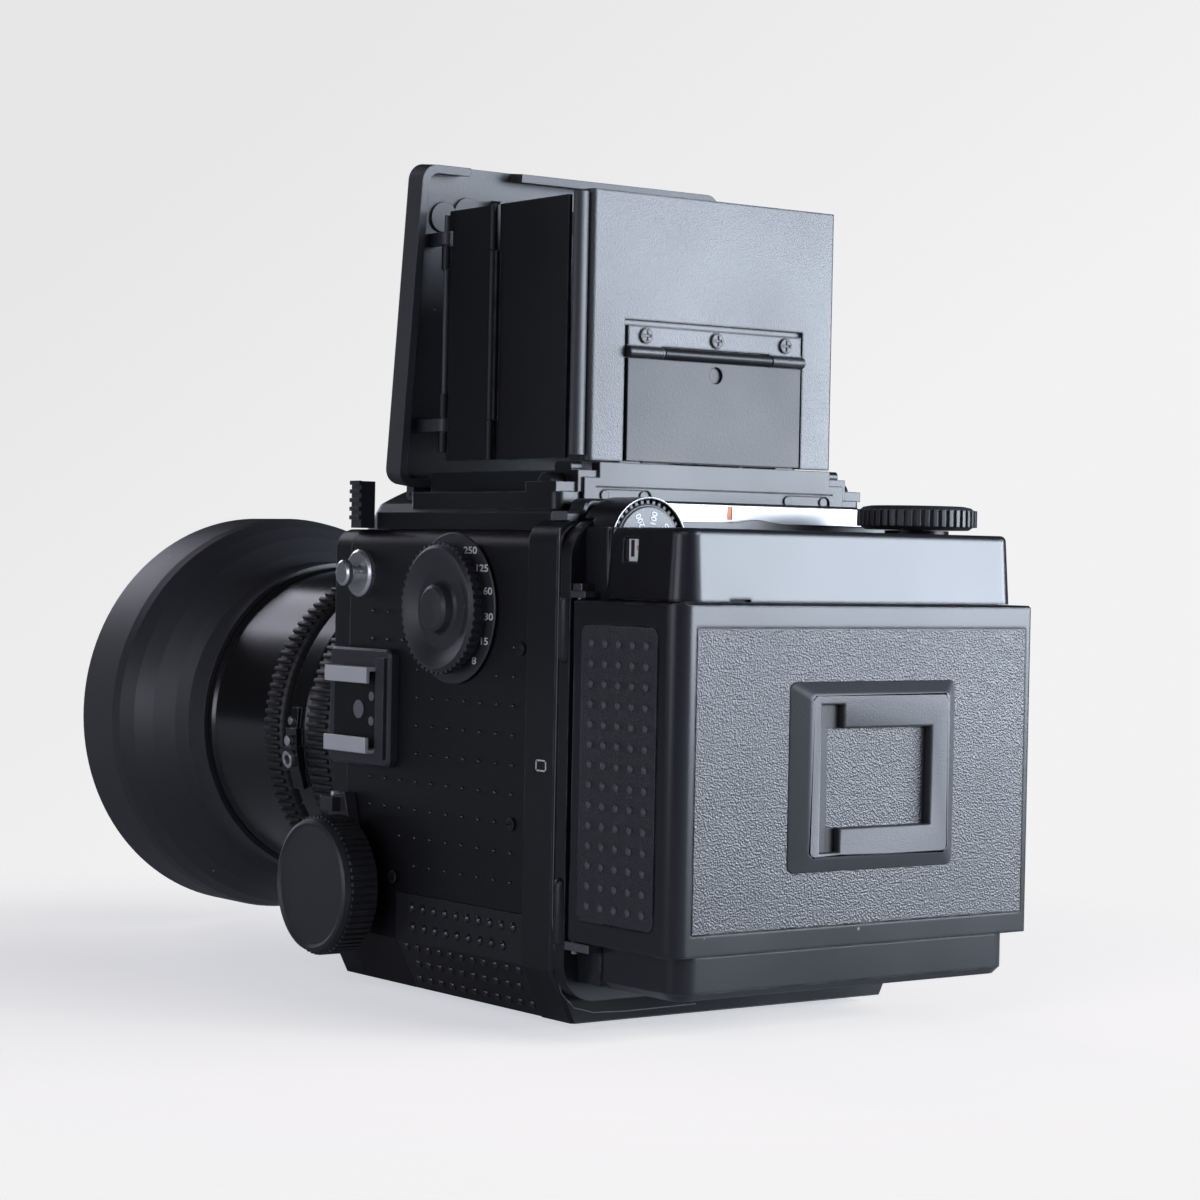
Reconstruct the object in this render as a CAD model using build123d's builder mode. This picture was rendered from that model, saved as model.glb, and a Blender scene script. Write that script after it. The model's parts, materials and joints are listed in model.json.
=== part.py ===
"""A medium format single lens reflex camera with a waist-level finder and a revolving roll-film magazine.

Millimetres. +Z is up, the lens looks along -Y, and the photographer's left hand side is +X.
The origin is the mouth of the tripod socket, in the plane that the camera stands on.
"""
from build123d import *
from math import atan, cos, pi, radians, sin, sqrt, tan
import os

os.makedirs("parts", exist_ok=True)

# Layout of the whole camera
axis_z = 59.0                    # height of the lens axis
body_half = 51.0                 # half the body's width
body_front_y = -42.0
body_floor_z = 2.0               # underside of the body, above the tripod pad
body_top_z = 110.4
seam_y = -34.0                   # joint between the front plate and the side covers
cover_rear_y = 41.0              # joint between the side covers and the rear frame
frame_rear_y = 52.5
cover_wall = 3.5
bevel_width = 6.0                # the slope along the foot of each side
bevel_height = 12.0
top_round = 5.0

# Clearances
flat_gap = 0.2                   # between flat faces that move past each other
side_gap = 0.3                   # between curved or loose faces
shaft_gap = 0.05                 # radial, a shaft in its hole
fixed_gap = 0.1                  # between covers screwed down side by side


def keep(builder, name):
    """Labels a finished piece and writes its STEP file."""
    builder.part.label = name
    export_step(builder.part, f"parts/{name}.step")


def facing_front(y):
    """The plane at depth y whose sketches read X and Z and extrude towards the lens."""
    return Plane.XZ.offset(-y)


def facing_left(x):
    """The plane at x whose sketches read Y and Z and extrude towards +X."""
    return Plane.YZ.offset(x)


def at_height(z):
    return Plane.XY.offset(z)


def block(xs, ys, zs, mode=Mode.ADD):
    """A plain block between two values on each axis."""
    with Locations((sum(xs) / 2, sum(ys) / 2, sum(zs) / 2)):
        Box(abs(xs[1] - xs[0]), abs(ys[1] - ys[0]), abs(zs[1] - zs[0]), mode=mode)


def rod_x(xs, y, z, radius, mode=Mode.ADD):
    with Locations((sum(xs) / 2, y, z)):
        Cylinder(radius, abs(xs[1] - xs[0]), rotation=(0, 90, 0), mode=mode)


def rod_y(x, ys, z, radius, mode=Mode.ADD):
    with Locations((x, sum(ys) / 2, z)):
        Cylinder(radius, abs(ys[1] - ys[0]), rotation=(90, 0, 0), mode=mode)


def rod_z(x, y, zs, radius, mode=Mode.ADD):
    with Locations((x, y, sum(zs) / 2)):
        Cylinder(radius, abs(zs[1] - zs[0]), mode=mode)


def slab_y(ys, half_x, half_z, corner, mode=Mode.ADD, centre=(0, axis_z)):
    """A rounded rectangle standing across the lens axis, between two depths."""
    with BuildSketch(facing_front(max(ys))) as face:
        with Locations(centre):
            RectangleRounded(2 * half_x, 2 * half_z, corner)
    extrude(face.sketch, amount=max(ys) - min(ys), mode=mode)


def slab_z(zs, centre, half_x, half_y, corner, mode=Mode.ADD):
    """A rounded rectangle lying flat, between two heights."""
    with BuildSketch(at_height(min(zs))) as face:
        with Locations(centre):
            RectangleRounded(2 * half_x, 2 * half_y, corner)
    extrude(face.sketch, amount=max(zs) - min(zs), mode=mode)


def slab_x(xs, centre, half_y, half_z, corner, mode=Mode.ADD):
    """A rounded rectangle on one of the camera's sides, between two widths."""
    with BuildSketch(facing_left(min(xs))) as face:
        with Locations(centre):
            RectangleRounded(2 * half_y, 2 * half_z, corner)
    extrude(face.sketch, amount=max(xs) - min(xs), mode=mode)


def turned(points, y_axis=(0, axis_z), mode=Mode.ADD):
    """Revolves a closed outline of (depth, radius) points about a line along Y."""
    with BuildSketch(Plane.YZ.offset(y_axis[0])) as section:
        with BuildLine():
            Polyline(*[(y, y_axis[1] + radius) for y, radius in points], close=True)
        make_face()
    revolve(section.sketch, axis=Axis((y_axis[0], 0, y_axis[1]), (0, 1, 0)), mode=mode)


def turned_x(points, centre, mode=Mode.ADD):
    """Revolves a closed outline of (x, radius) points about a line along X through (y, z)."""
    with BuildSketch(Plane.XZ.offset(-centre[0])) as section:
        with BuildLine():
            Polyline(*[(x, centre[1] + radius) for x, radius in points], close=True)
        make_face()
    revolve(section.sketch, axis=Axis((0, centre[0], centre[1]), (1, 0, 0)), mode=mode)


def turned_z(points, centre, mode=Mode.ADD):
    """Revolves a closed outline of (z, radius) points about an upright line through (x, y)."""
    with BuildSketch(Plane.XZ.offset(-centre[1])) as section:
        with BuildLine():
            Polyline(*[(centre[0] + radius, z) for z, radius in points], close=True)
        make_face()
    revolve(section.sketch, axis=Axis((centre[0], centre[1], 0), (0, 0, 1)), mode=mode)


def body_face(plane, inset=0.0, half=body_half, top=body_top_z):
    """The body's outline seen from the front, drawn in by inset on every side."""
    low = body_floor_z + inset
    high = top - inset
    edge = half - inset
    slope = bevel_width / bevel_height
    foot = half - bevel_width - inset * (sqrt(1 + slope ** 2) - slope)
    corner = top_round - min(inset, top_round - 1)
    knee = low + (edge - foot) / slope
    with BuildSketch(plane) as face:
        with BuildLine():
            Polyline((0, low), (foot, low), (edge, knee), (edge, high - corner))
            RadiusArc((edge, high - corner), (edge - corner, high), -corner)
            Polyline((edge - corner, high), (0, high), (0, low))
        make_face()
        mirror(about=Plane.YZ)
    return face.sketch


# Front plate with the lens throat
front_thickness = 4.0
front_inner_y = body_front_y + front_thickness
throat_half = 30.5
throat_round = 4.0
rack_x = 36.5
rack_half = 2.5
rack_foot_z = 11.0
focus_y = -29.0
focus_z = 25.3
pinion_teeth = 10
tooth_module = 1.4
pressure_angle = radians(25)
tooth_rise = 0.8 * tooth_module
tooth_root = 1.0 * tooth_module
tooth_slack = 0.3                # play along the pitch line
pinion_radius = pinion_teeth * tooth_module / 2
rack_pitch_z = focus_z - pinion_radius
rack_slot_gap = 0.5
button_x = -45.3
button_z = 19.0
button_radius = 3.0
collar_radius = 4.5

with BuildPart() as front_plate:
    extrude(body_face(facing_front(seam_y)), amount=seam_y - body_front_y)
    extrude(body_face(facing_front(seam_y), cover_wall), amount=seam_y - front_inner_y, mode=Mode.SUBTRACT)
    slab_y((body_front_y - 1, front_inner_y + 1), throat_half, throat_half, throat_round, Mode.SUBTRACT)
    for side in (1, -1):
        block((side * rack_x - rack_half - rack_slot_gap, side * rack_x + rack_half + rack_slot_gap),
              (body_front_y - 1, front_inner_y + 1),
              (rack_foot_z - rack_slot_gap, rack_pitch_z + tooth_rise + rack_slot_gap), Mode.SUBTRACT)
    rod_y(button_x, (body_front_y - 1, front_inner_y + 1), button_z, button_radius / 2 + shaft_gap, Mode.SUBTRACT)
    rim = [e for e in front_plate.edges() if abs(e.center().Y - body_front_y) < 0.01
           and (e.center().Z > body_top_z - 2 or abs(e.center().X) > body_half - 2) and e.length > 6]
    chamfer(rim, 1.2)
keep(front_plate, "front_plate")

# Side covers, cut from one shell
cover_front_y = seam_y + fixed_gap
cover_back_y = cover_rear_y - fixed_gap
cover_inner_x = 38.0             # where the cover's top stops, under the finder seat
foot_inner_x = 45.0              # where its foot meets the bottom plate
battery_front_y = -10.9
battery_top_z = 25.2
shaft_radius = 4.0
dial_y = 11.5
dial_z = 92.4
dial_stem = 4.0
cock_y = 14.0
cock_z = 62.0
cock_stem = 4.0


def cover_shell(side):
    """One side's share of the body shell between the front plate and the rear frame."""
    extrude(body_face(facing_front(cover_back_y)), amount=cover_back_y - cover_front_y)
    extrude(body_face(facing_front(cover_back_y), cover_wall), amount=cover_back_y - cover_front_y,
            mode=Mode.SUBTRACT)
    reach = body_half + 1
    block((-side * reach, side * foot_inner_x), (cover_front_y, cover_back_y), (0, axis_z), Mode.SUBTRACT)
    block((-side * reach, side * cover_inner_x), (cover_front_y, cover_back_y), (axis_z, body_top_z + 1),
          Mode.SUBTRACT)


with BuildPart() as left_side_cover:
    cover_shell(1)
    block((foot_inner_x - 1, body_half + 1), (battery_front_y, cover_back_y), (0, battery_top_z), Mode.SUBTRACT)
    rod_x((40, body_half + 1), focus_y, focus_z, shaft_radius + side_gap, Mode.SUBTRACT)
    rod_x((40, body_half + 1), dial_y, dial_z, dial_stem + shaft_gap, Mode.SUBTRACT)
keep(left_side_cover, "left_side_cover")

with BuildPart() as right_side_cover:
    cover_shell(-1)
    rod_x((-40, -body_half - 1), focus_y, focus_z, shaft_radius + side_gap, Mode.SUBTRACT)
    rod_x((-40, -body_half - 1), cock_y, cock_z, cock_stem + shaft_gap, Mode.SUBTRACT)
keep(right_side_cover, "right_side_cover")

with BuildPart() as battery_cover:
    extrude(body_face(facing_front(cover_back_y)), amount=cover_back_y - battery_front_y - fixed_gap)
    extrude(body_face(facing_front(cover_back_y), cover_wall), amount=cover_back_y - battery_front_y - fixed_gap,
            mode=Mode.SUBTRACT)
    block((-body_half - 1, foot_inner_x + fixed_gap), (battery_front_y, cover_back_y), (0, body_top_z + 1),
          Mode.SUBTRACT)
    block((0, body_half + 1), (battery_front_y, cover_back_y), (battery_top_z - fixed_gap, body_top_z + 1),
          Mode.SUBTRACT)
keep(battery_cover, "battery_cover")

# Rear frame that the revolving adapter turns against
frame_half = 51.5
gate_half = 38.5
frame_top_z = 112.7
seat_half = 46.0                 # half the width of the finder seat, which reaches over the frame's front edge
seat_rear_y = 43.0
strip_ys = (44.3, 50.7)
strip_half = 48.0
strip_foot_z = 114.75            # top of the strip's two low ends
strip_top_z = 117.7
strip_right_x = -36.7            # where the high part stops beside the advance knob

with BuildPart() as rear_frame:
    extrude(body_face(facing_front(frame_rear_y), half=frame_half, top=frame_top_z),
            amount=frame_rear_y - cover_rear_y)
    slab_y((cover_rear_y - 1, frame_rear_y + 1), gate_half, gate_half, 3.0, Mode.SUBTRACT)
    slab_y((cover_rear_y - 1, frame_rear_y - 5), gate_half + 4, gate_half + 6, 3.0, Mode.SUBTRACT)
    rim = [e for e in rear_frame.edges() if abs(e.center().Y - frame_rear_y) < 0.01
           and (e.center().Z > body_top_z - 2 or abs(e.center().X) > frame_half - 4)
           and e.length > 6 and abs(e.center().Z - axis_z) < 53]
    chamfer([e for e in rim if abs(e.center().X) > gate_half + 1], 0.8)
    block((-seat_half - side_gap, seat_half + side_gap), (cover_rear_y - 1, seat_rear_y + side_gap),
          (body_top_z, frame_top_z + 1), Mode.SUBTRACT)
keep(rear_frame, "rear_frame")

with BuildPart() as index_strip:
    with BuildSketch(facing_front(strip_ys[1])):
        with BuildLine():
            Polyline((0, frame_top_z), (strip_half, frame_top_z), (strip_half, strip_foot_z),
                     (44.2, strip_foot_z))
            Spline((44.2, strip_foot_z), (43.2, 115.8), (42.6, 117.0), (41.0, strip_top_z),
                   tangents=[(-1, 0), (-1, 0)])
            Polyline((41.0, strip_top_z), (strip_right_x, strip_top_z), (strip_right_x, strip_foot_z),
                     (-strip_half, strip_foot_z), (-strip_half, frame_top_z), (0, frame_top_z))
        make_face()
    extrude(amount=strip_ys[1] - strip_ys[0])
    chamfer([e for e in index_strip.edges().filter_by(Axis.X) if e.center().Z > strip_top_z - 0.01], 0.6)
keep(index_strip, "index_strip")

# Bottom plate, its tripod pad and the socket
bush_radius = 8.0
socket_radius = 3.175            # a 1/4 inch screw
bush_height = 7.0
plate_zs = (body_floor_z, 5.5)
pad_half = 21.0
pad_tail_half = 10.5
pad_front_y = -34.0

with BuildPart() as bottom_plate:
    block((-foot_inner_x + fixed_gap, foot_inner_x - fixed_gap), (cover_front_y, cover_back_y), plate_zs)
    with BuildSketch(at_height(0)):
        Polygon((-pad_half, pad_front_y), (pad_half, pad_front_y), (pad_half, 30), (pad_tail_half, 40),
                (pad_tail_half, cover_back_y), (-pad_tail_half, cover_back_y), (-pad_tail_half, 40),
                (-pad_half, 30), align=None)
    extrude(amount=body_floor_z)
    rod_z(0, 0, (-1, bush_height + 1), bush_radius, Mode.SUBTRACT)
keep(bottom_plate, "bottom_plate")

with BuildPart() as tripod_bush:
    rod_z(0, 0, (0, bush_height), bush_radius)
    rod_z(0, 0, (bush_height - 1.5, bush_height), bush_radius + 2)
    rod_z(0, 0, (-1, bush_height + 1), socket_radius, Mode.SUBTRACT)
keep(tripod_bush, "tripod_bush")

# Mirror box, with the mirror's bearings
box_wall_xs = (42.0, 45.0)
box_floor_zs = (21.6, 23.6)
box_top_z = 106.7
mirror_y = 36.5
mirror_z = 90.0
mirror_pin = 2.5
mirror_half = 40.0
mirror_length = 66.0
bellows_frame_ys = (front_inner_y + fixed_gap, -34.2)
bellows_hole = 27.0
box_frame_half = 43.3

with BuildPart() as mirror_box:
    for side in (1, -1):
        block((side * box_wall_xs[0], side * box_wall_xs[1]), (-34.2, cover_back_y), (box_floor_zs[0], box_top_z))
    block((-box_wall_xs[0], box_wall_xs[0]), (-18.5, cover_back_y), box_floor_zs)
    block((-box_frame_half, box_frame_half), bellows_frame_ys, (plate_zs[1] + 2.0, box_top_z - 2))
    slab_y((bellows_frame_ys[0] - 1, bellows_frame_ys[1] + 1), bellows_hole, bellows_hole, 3.0, Mode.SUBTRACT)
    for side in (1, -1):
        block((side * (rack_x - 6), side * (rack_x + 4.5)), (-40, -18.5), (plate_zs[1], focus_z + 10),
              Mode.SUBTRACT)
    rod_x((-50, 50), focus_y, focus_z, shaft_radius + side_gap, Mode.SUBTRACT)
    rod_x((-50, 50), mirror_y, mirror_z, mirror_pin + shaft_gap, Mode.SUBTRACT)
    rod_x((-50, -40), cock_y, cock_z, cock_stem + side_gap, Mode.SUBTRACT)
keep(mirror_box, "mirror_box")


# Lens board that slides out of the body on two racks
board_ys = (-53.0, body_front_y - 0.8)
board_half = 42.0
board_foot_half = 39.3
board_foot_z = 9.5
board_waist_z = 25.0            # below this the board narrows beside the shutter button
board_bore = 29.0
bellows_half = 29.5
bellows_inner = 25.5
recess_depth = 4.0
rack_rear_y = 14.0
mount_radius = 44.5              # the turning ring's seat on the board

with BuildPart() as lens_board:
    slab_y(board_ys, board_half, (axis_z + board_half - board_waist_z) / 2, 7.0,
           centre=(0, (axis_z + board_half + board_waist_z) / 2))
    block((-board_foot_half, board_foot_half), board_ys, (board_foot_z, axis_z))
    slab_y((board_ys[0] - 1, board_ys[1] + 1), board_bore - 2.5, board_bore - 2.5, 3.0, Mode.SUBTRACT)
    slab_y((board_ys[1] - recess_depth, board_ys[1] + 1), bellows_half + side_gap, bellows_half + side_gap, 3.0,
           Mode.SUBTRACT)
    chamfer(lens_board.edges().filter_by(Axis.Y).filter_by(lambda e: e.center().Z < board_foot_z + 1), 2.0)
keep(lens_board, "lens_board")


def rack_outline():
    """The rack's teeth as points along Y. The first one stands in the pinion's lowest space."""
    pitch = pi * tooth_module
    half_tooth = pitch / 4 - tooth_slack / 2
    tip = half_tooth - tooth_rise * tan(pressure_angle)
    foot = half_tooth + tooth_root * tan(pressure_angle)
    points = []
    y = focus_y
    while y + foot < rack_rear_y - 1:
        points += [(y - foot, rack_pitch_z - tooth_root), (y - tip, rack_pitch_z + tooth_rise),
                   (y + tip, rack_pitch_z + tooth_rise), (y + foot, rack_pitch_z - tooth_root)]
        y += pitch
    return points


with BuildPart() as focus_racks:
    for side in (1, -1):
        with BuildSketch(facing_left(side * rack_x - rack_half)) as rack_side:
            with BuildLine():
                Polyline((board_ys[1], rack_foot_z), (board_ys[1], rack_pitch_z - tooth_root), *rack_outline(),
                         (rack_rear_y, rack_pitch_z - tooth_root), (rack_rear_y, rack_foot_z), close=True)
            make_face()
        extrude(rack_side.sketch, amount=2 * rack_half)
keep(focus_racks, "focus_racks")

# Focusing shaft with its two pinions
pinion_half = 2.0
shaft_half = 63.0


def involute(radius, base):
    """The angle that an involute flank has turned through where it reaches a radius."""
    if radius <= base:
        return 0.0
    reach = sqrt((radius / base) ** 2 - 1)
    return reach - atan(reach)


def pinion_outline():
    """The points round a pinion whose tooth space faces straight down at the rack."""
    base = pinion_radius * cos(pressure_angle)
    tip = pinion_radius + tooth_rise
    root = pinion_radius - tooth_root
    half_tooth = (pi * tooth_module / 2 - tooth_slack) / (2 * pinion_radius)
    radii = [root, base, (base + pinion_radius) / 2, pinion_radius, (pinion_radius + tip) / 2, tip]
    offsets = [half_tooth + involute(pinion_radius, base) - involute(r, base) for r in radii]
    points = []
    for tooth in range(pinion_teeth):
        middle = -pi / 2 + (tooth + 0.5) * 2 * pi / pinion_teeth
        flank = [(r, middle - a) for r, a in zip(radii, offsets)]
        flank += [(r, middle + a) for r, a in reversed(list(zip(radii, offsets)))]
        points += [(focus_y + r * cos(a), focus_z + r * sin(a)) for r, a in flank]
    return points


with BuildPart() as focus_shaft:
    rod_x((-shaft_half, shaft_half), focus_y, focus_z, shaft_radius)
    for side in (1, -1):
        with BuildSketch(facing_left(side * rack_x - pinion_half)) as pinion_side:
            with BuildLine():
                Polyline(*pinion_outline(), close=True)
            make_face()
        extrude(pinion_side.sketch, amount=2 * pinion_half)
keep(focus_shaft, "focus_shaft")

# Focusing knobs
knob_radius = 16.6
knob_xs = (54.4, 64.2)
knob_ribs = 60
knob_rim = 1.4


def focus_knob(side):
    """A ribbed knob with a dished matte face, bored for the shaft."""
    base, face = knob_xs
    turned_x([(side * base, 0), (side * base, knob_radius - 1.6), (side * (base + 0.8), knob_radius - 0.5),
              (side * (face - 1.6), knob_radius - 0.5), (side * (face - 0.4), knob_radius - 1.0),
              (side * face, knob_radius - knob_rim - 0.4), (side * (face - 0.5), knob_radius - knob_rim - 1.2),
              (side * (face - 0.5), 0)], (focus_y, focus_z))
    with Locations((side * (base + face - 1.2) / 2 + side * 0.1, focus_y, focus_z)):
        with Locations(Location((0, 0, 0), (0, 90, 0))):
            with PolarLocations(knob_radius - 0.5, knob_ribs):
                Box(1.0, 0.9, face - base - 3.0)
    rod_x((0, side * shaft_half), focus_y, focus_z, shaft_radius, Mode.SUBTRACT)


with BuildPart() as left_focus_knob:
    focus_knob(1)
keep(left_focus_knob, "left_focus_knob")

with BuildPart() as right_focus_knob:
    focus_knob(-1)
keep(right_focus_knob, "right_focus_knob")

# Focus lock lever round the shaft's left end
lever_xs = (body_half + flat_gap, knob_xs[0] - flat_gap)
lever_hub = 8.0
lever_reach = 20.4

with BuildPart() as focus_lock_lever:
    rod_x(lever_xs, focus_y, focus_z, lever_hub)
    with BuildSketch(facing_left(lever_xs[0])) as lever_side:
        with BuildLine():
            Polyline((focus_y + 5.5, focus_z + 3), (focus_y - 1.2, focus_z + lever_reach + 1.5),
                     (focus_y - 6.2, focus_z + lever_reach + 0.5), (focus_y - 8.4, focus_z + 14.5),
                     (focus_y - 7.0, focus_z + 3), close=True)
        make_face()
    extrude(lever_side.sketch, amount=lever_xs[1] - lever_xs[0])
    block((lever_xs[1] - 0.5, 56.8), (focus_y - 8.0, focus_y - 2.4), (focus_z + 17.2, focus_z + 20.6))
    rod_x((lever_xs[0] - 1, lever_xs[1] + 1), focus_y, focus_z, shaft_radius + shaft_gap, Mode.SUBTRACT)
keep(focus_lock_lever, "focus_lock_lever")

# Bellows between the mirror box and the lens board
bellows_ys = (bellows_frame_ys[0], board_ys[1] - recess_depth)
fold_count = 5
cloth = 0.7

with BuildPart() as bellows:
    fold = (bellows_ys[0] - bellows_ys[1]) / fold_count
    for number in range(fold_count):
        middle = bellows_ys[1] + (number + 0.5) * fold
        with BuildSketch(facing_front(middle + fold / 2)) as inner_edge:
            RectangleRounded(2 * (bellows_inner + cloth), 2 * (bellows_inner + cloth), 2.5)
        with BuildSketch(facing_front(middle)) as outer_edge:
            RectangleRounded(2 * bellows_half, 2 * bellows_half, 2.5)
        with BuildSketch(facing_front(middle - fold / 2)) as next_edge:
            RectangleRounded(2 * (bellows_inner + cloth), 2 * (bellows_inner + cloth), 2.5)
        up = Location((0, 0, axis_z))
        loft([inner_edge.sketch.moved(up), outer_edge.sketch.moved(up)])
        loft([outer_edge.sketch.moved(up), next_edge.sketch.moved(up)])
    slab_y((bellows_ys[1] - 1, bellows_ys[0] + 1), bellows_inner, bellows_inner, 2.0, Mode.SUBTRACT)
keep(bellows, "bellows")

# Lens barrel, its glass and the hood
barrel_radius = 41.0
barrel_front_y = -128.0
hood_seat = 41.6                 # where the hood grips the barrel
barrel_bore = 22.5
aperture_ys = (-88.5, -80.0)
lock_ys = (-67.6, -56.5)
ring_seat = 38.0
rib_tip = 43.4
lug_angle = -9.0                 # the flash lug, in degrees round the barrel from the left side
lug_radius = 41.4

with BuildPart() as lens_barrel:
    turned([(board_ys[0], barrel_bore - 3), (board_ys[0], mount_radius - 2), (-55.6, mount_radius - 2),
            (-56.2, ring_seat), (lock_ys[0] - side_gap, ring_seat), (lock_ys[0] - side_gap, 41.6), (-69.5, 42.0),
            (-76.5, 42.0), (-76.5, 39.6), (-79.6, 39.6), (aperture_ys[1] + side_gap, ring_seat),
            (aperture_ys[0] - side_gap, ring_seat), (aperture_ys[0] - side_gap, 41.0), (-90.0, barrel_radius),
            (-117.0, barrel_radius), (-118.0, hood_seat), (barrel_front_y, hood_seat), (barrel_front_y, 33.0),
            (-122.0, 29.0), (-113.0, barrel_bore), (-100.0, barrel_bore), (-100.0, 16.0), (-64.0, 16.0),
            (-64.0, barrel_bore - 3)])
    for angle, reach, depth in ((4.0, 1.6, 3.0), (-3.0, 2.4, 5.0), (lug_angle, 2.8, 6.6), (-15.5, 2.2, 5.0)):
        spot = Location((0, 0, axis_z)) * Location((0, 0, 0), (0, -angle, 0)) * Location((lug_radius, -73.0, 0))
        with Locations(spot):
            Box(reach * 2, depth, 6.2)
keep(lens_barrel, "lens_barrel")

with BuildPart() as lens_elements:
    turned([(-100.0, 0), (-100.0, barrel_bore), (-107.0, barrel_bore), (-109.0, 16.0), (-110.0, 8.0), (-110.3, 0)])
    turned([(-64.0, 0), (-64.0, barrel_bore - 3), (-58.0, barrel_bore - 3), (-56.5, 12.0), (-56.0, 0)])
keep(lens_elements, "lens_elements")


def ribbed_ring(ys, ribs, seat):
    """A lens ring with square ribs all the way round, over a plain band."""
    turned([(ys[0], seat), (ys[1], seat), (ys[1], rib_tip - 1.6), (ys[1] - 0.8, rib_tip - 1.0),
            (ys[0] + 0.8, rib_tip - 1.0), (ys[0], rib_tip - 1.6)])
    with Locations((0, (ys[0] + ys[1]) / 2, axis_z)):
        with Locations(Location((0, 0, 0), (90, 0, 0))):
            with PolarLocations(rib_tip - 1.0, ribs):
                Box(2.0, 1.9, ys[1] - ys[0] - 2.0)


with BuildPart() as aperture_ring:
    ribbed_ring(aperture_ys, 60, ring_seat + shaft_gap)
keep(aperture_ring, "aperture_ring")

with BuildPart() as lens_lock_ring:
    ribbed_ring(lock_ys, 54, ring_seat + shaft_gap)
keep(lens_lock_ring, "lens_lock_ring")

hood_front_y = -166.5
hood_radius = 54.85
hood_band_y = -149.5
hood_wall = 1.85

with BuildPart() as lens_hood:
    turned([(hood_front_y, hood_radius), (hood_band_y, hood_radius), (-146.0, 54.4), (-141.0, 52.6),
            (-136.0, 49.6), (-131.0, 45.6), (-128.4, 43.0), (-120.0, 42.8), (-120.0, hood_seat),
            (barrel_front_y, hood_seat), (barrel_front_y, 38.0), (-130.0, 41.6), (-134.5, 46.2), (-139.5, 50.1),
            (-144.5, 52.4), (hood_band_y, hood_radius - hood_wall), (hood_front_y, hood_radius - hood_wall)])
keep(lens_hood, "lens_hood")

# Flash socket and two studs on the lug at the side of the barrel
stud_height = 1.2
flash_bore = 1.25
with BuildPart() as sync_sockets:
    for angle, radius, reach in ((lug_angle, 2.2, 3.45), (-3.0, 1.3, 3.05), (3.6, 1.0, 2.25)):
        spot = Location((0, 0, axis_z)) * Location((0, 0, 0), (0, -angle, 0))
        with Locations(spot * Location((lug_radius + reach, -73.0, 0))):
            Cylinder(radius, stud_height, rotation=(0, 90, 0))
            if angle == lug_angle:
                Cylinder(flash_bore, stud_height + 1, rotation=(0, 90, 0), mode=Mode.SUBTRACT)
keep(sync_sockets, "sync_sockets")

# Swinging mirror
mirror_rest = 45.0
frame_thickness = 2.4
glass_thickness = 2.0
mirror_plane = Plane(origin=(0, mirror_y, mirror_z), x_dir=(1, 0, 0),
                     z_dir=(0, -sin(radians(mirror_rest)), cos(radians(mirror_rest))))

with BuildPart() as mirror_frame:
    with BuildSketch(mirror_plane) as frame_sketch:
        with Locations((0, -mirror_length / 2)):
            RectangleRounded(2 * mirror_half, mirror_length, 4)
    extrude(frame_sketch.sketch, amount=-frame_thickness)
    rod_x((-mirror_half, mirror_half), mirror_y, mirror_z, mirror_pin)
    rod_x((-44.5, 44.5), mirror_y, mirror_z, mirror_pin)
keep(mirror_frame, "mirror_frame")

with BuildPart() as mirror_glass:
    with BuildSketch(mirror_plane) as glass_sketch:
        with Locations((0, -mirror_length / 2 - 1.5)):
            Rectangle(2 * mirror_half - 4, mirror_length - 6)
    extrude(glass_sketch.sketch, amount=glass_thickness)
keep(mirror_glass, "mirror_glass")

# Shutter speed dial on the left side
dial_skirt = 17.4                # the figures stand on the skirt, outside the narrower waist
dial_waist = 13.2
dial_head = 14.6
dial_face = 13.7
dial_xs = (body_half + flat_gap, 56.6)
dial_notches = 48

with BuildPart() as speed_dial:
    turned_x([(45.4, 0), (45.4, dial_stem), (dial_xs[0], dial_stem), (dial_xs[0], dial_skirt - 0.4),
              (51.6, dial_skirt), (51.8, dial_skirt), (52.0, dial_skirt - 0.3), (52.0, dial_waist),
              (53.9, dial_waist), (54.2, dial_head), (55.9, dial_head), (dial_xs[1], dial_face), (56.2, 12.6),
              (54.9, 9.6), (54.9, 6.4), (55.4, 5.8), (57.2, 5.3), (57.8, 4.4), (57.5, 0)], (dial_y, dial_z))
    with Locations(Location((55.0, dial_y, dial_z), (0, 90, 0))):
        with PolarLocations(dial_head - 0.1, dial_notches):
            Box(1.3, 0.9, 1.9)
keep(speed_dial, "speed_dial")

# Strap lugs on both sides
strap_y = -28.6
strap_z = 99.8
lug_neck = 1.8

with BuildPart() as strap_lugs:
    for side in (1, -1):
        turned_x([(side * body_half, 0), (side * body_half, 5.7), (side * 52.2, 5.7), (side * 52.7, 5.0),
                  (side * 52.7, lug_neck), (side * 55.2, lug_neck), (side * 55.5, 3.1), (side * 56.7, 3.1),
                  (side * 57.1, 2.5), (side * 57.1, 0)], (strap_y, strap_z))
keep(strap_lugs, "strap_lugs")

# Accessory shoe on the left side
shoe_ys = (-39.0, -12.0)
shoe_zs = (54.0, 82.0)
shoe_face_x = 53.5
shoe_mid_z = 67.4
rail_ys = (-36.3, -17.5)
shoe_inner = 18.6                # between the rails' legs
shoe_mouth = 12.8                # between their lips
shoe_height = 2.1                # from the shoe's floor to the lips
rail_wall = 0.9
rail_foot = 0.6

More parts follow.
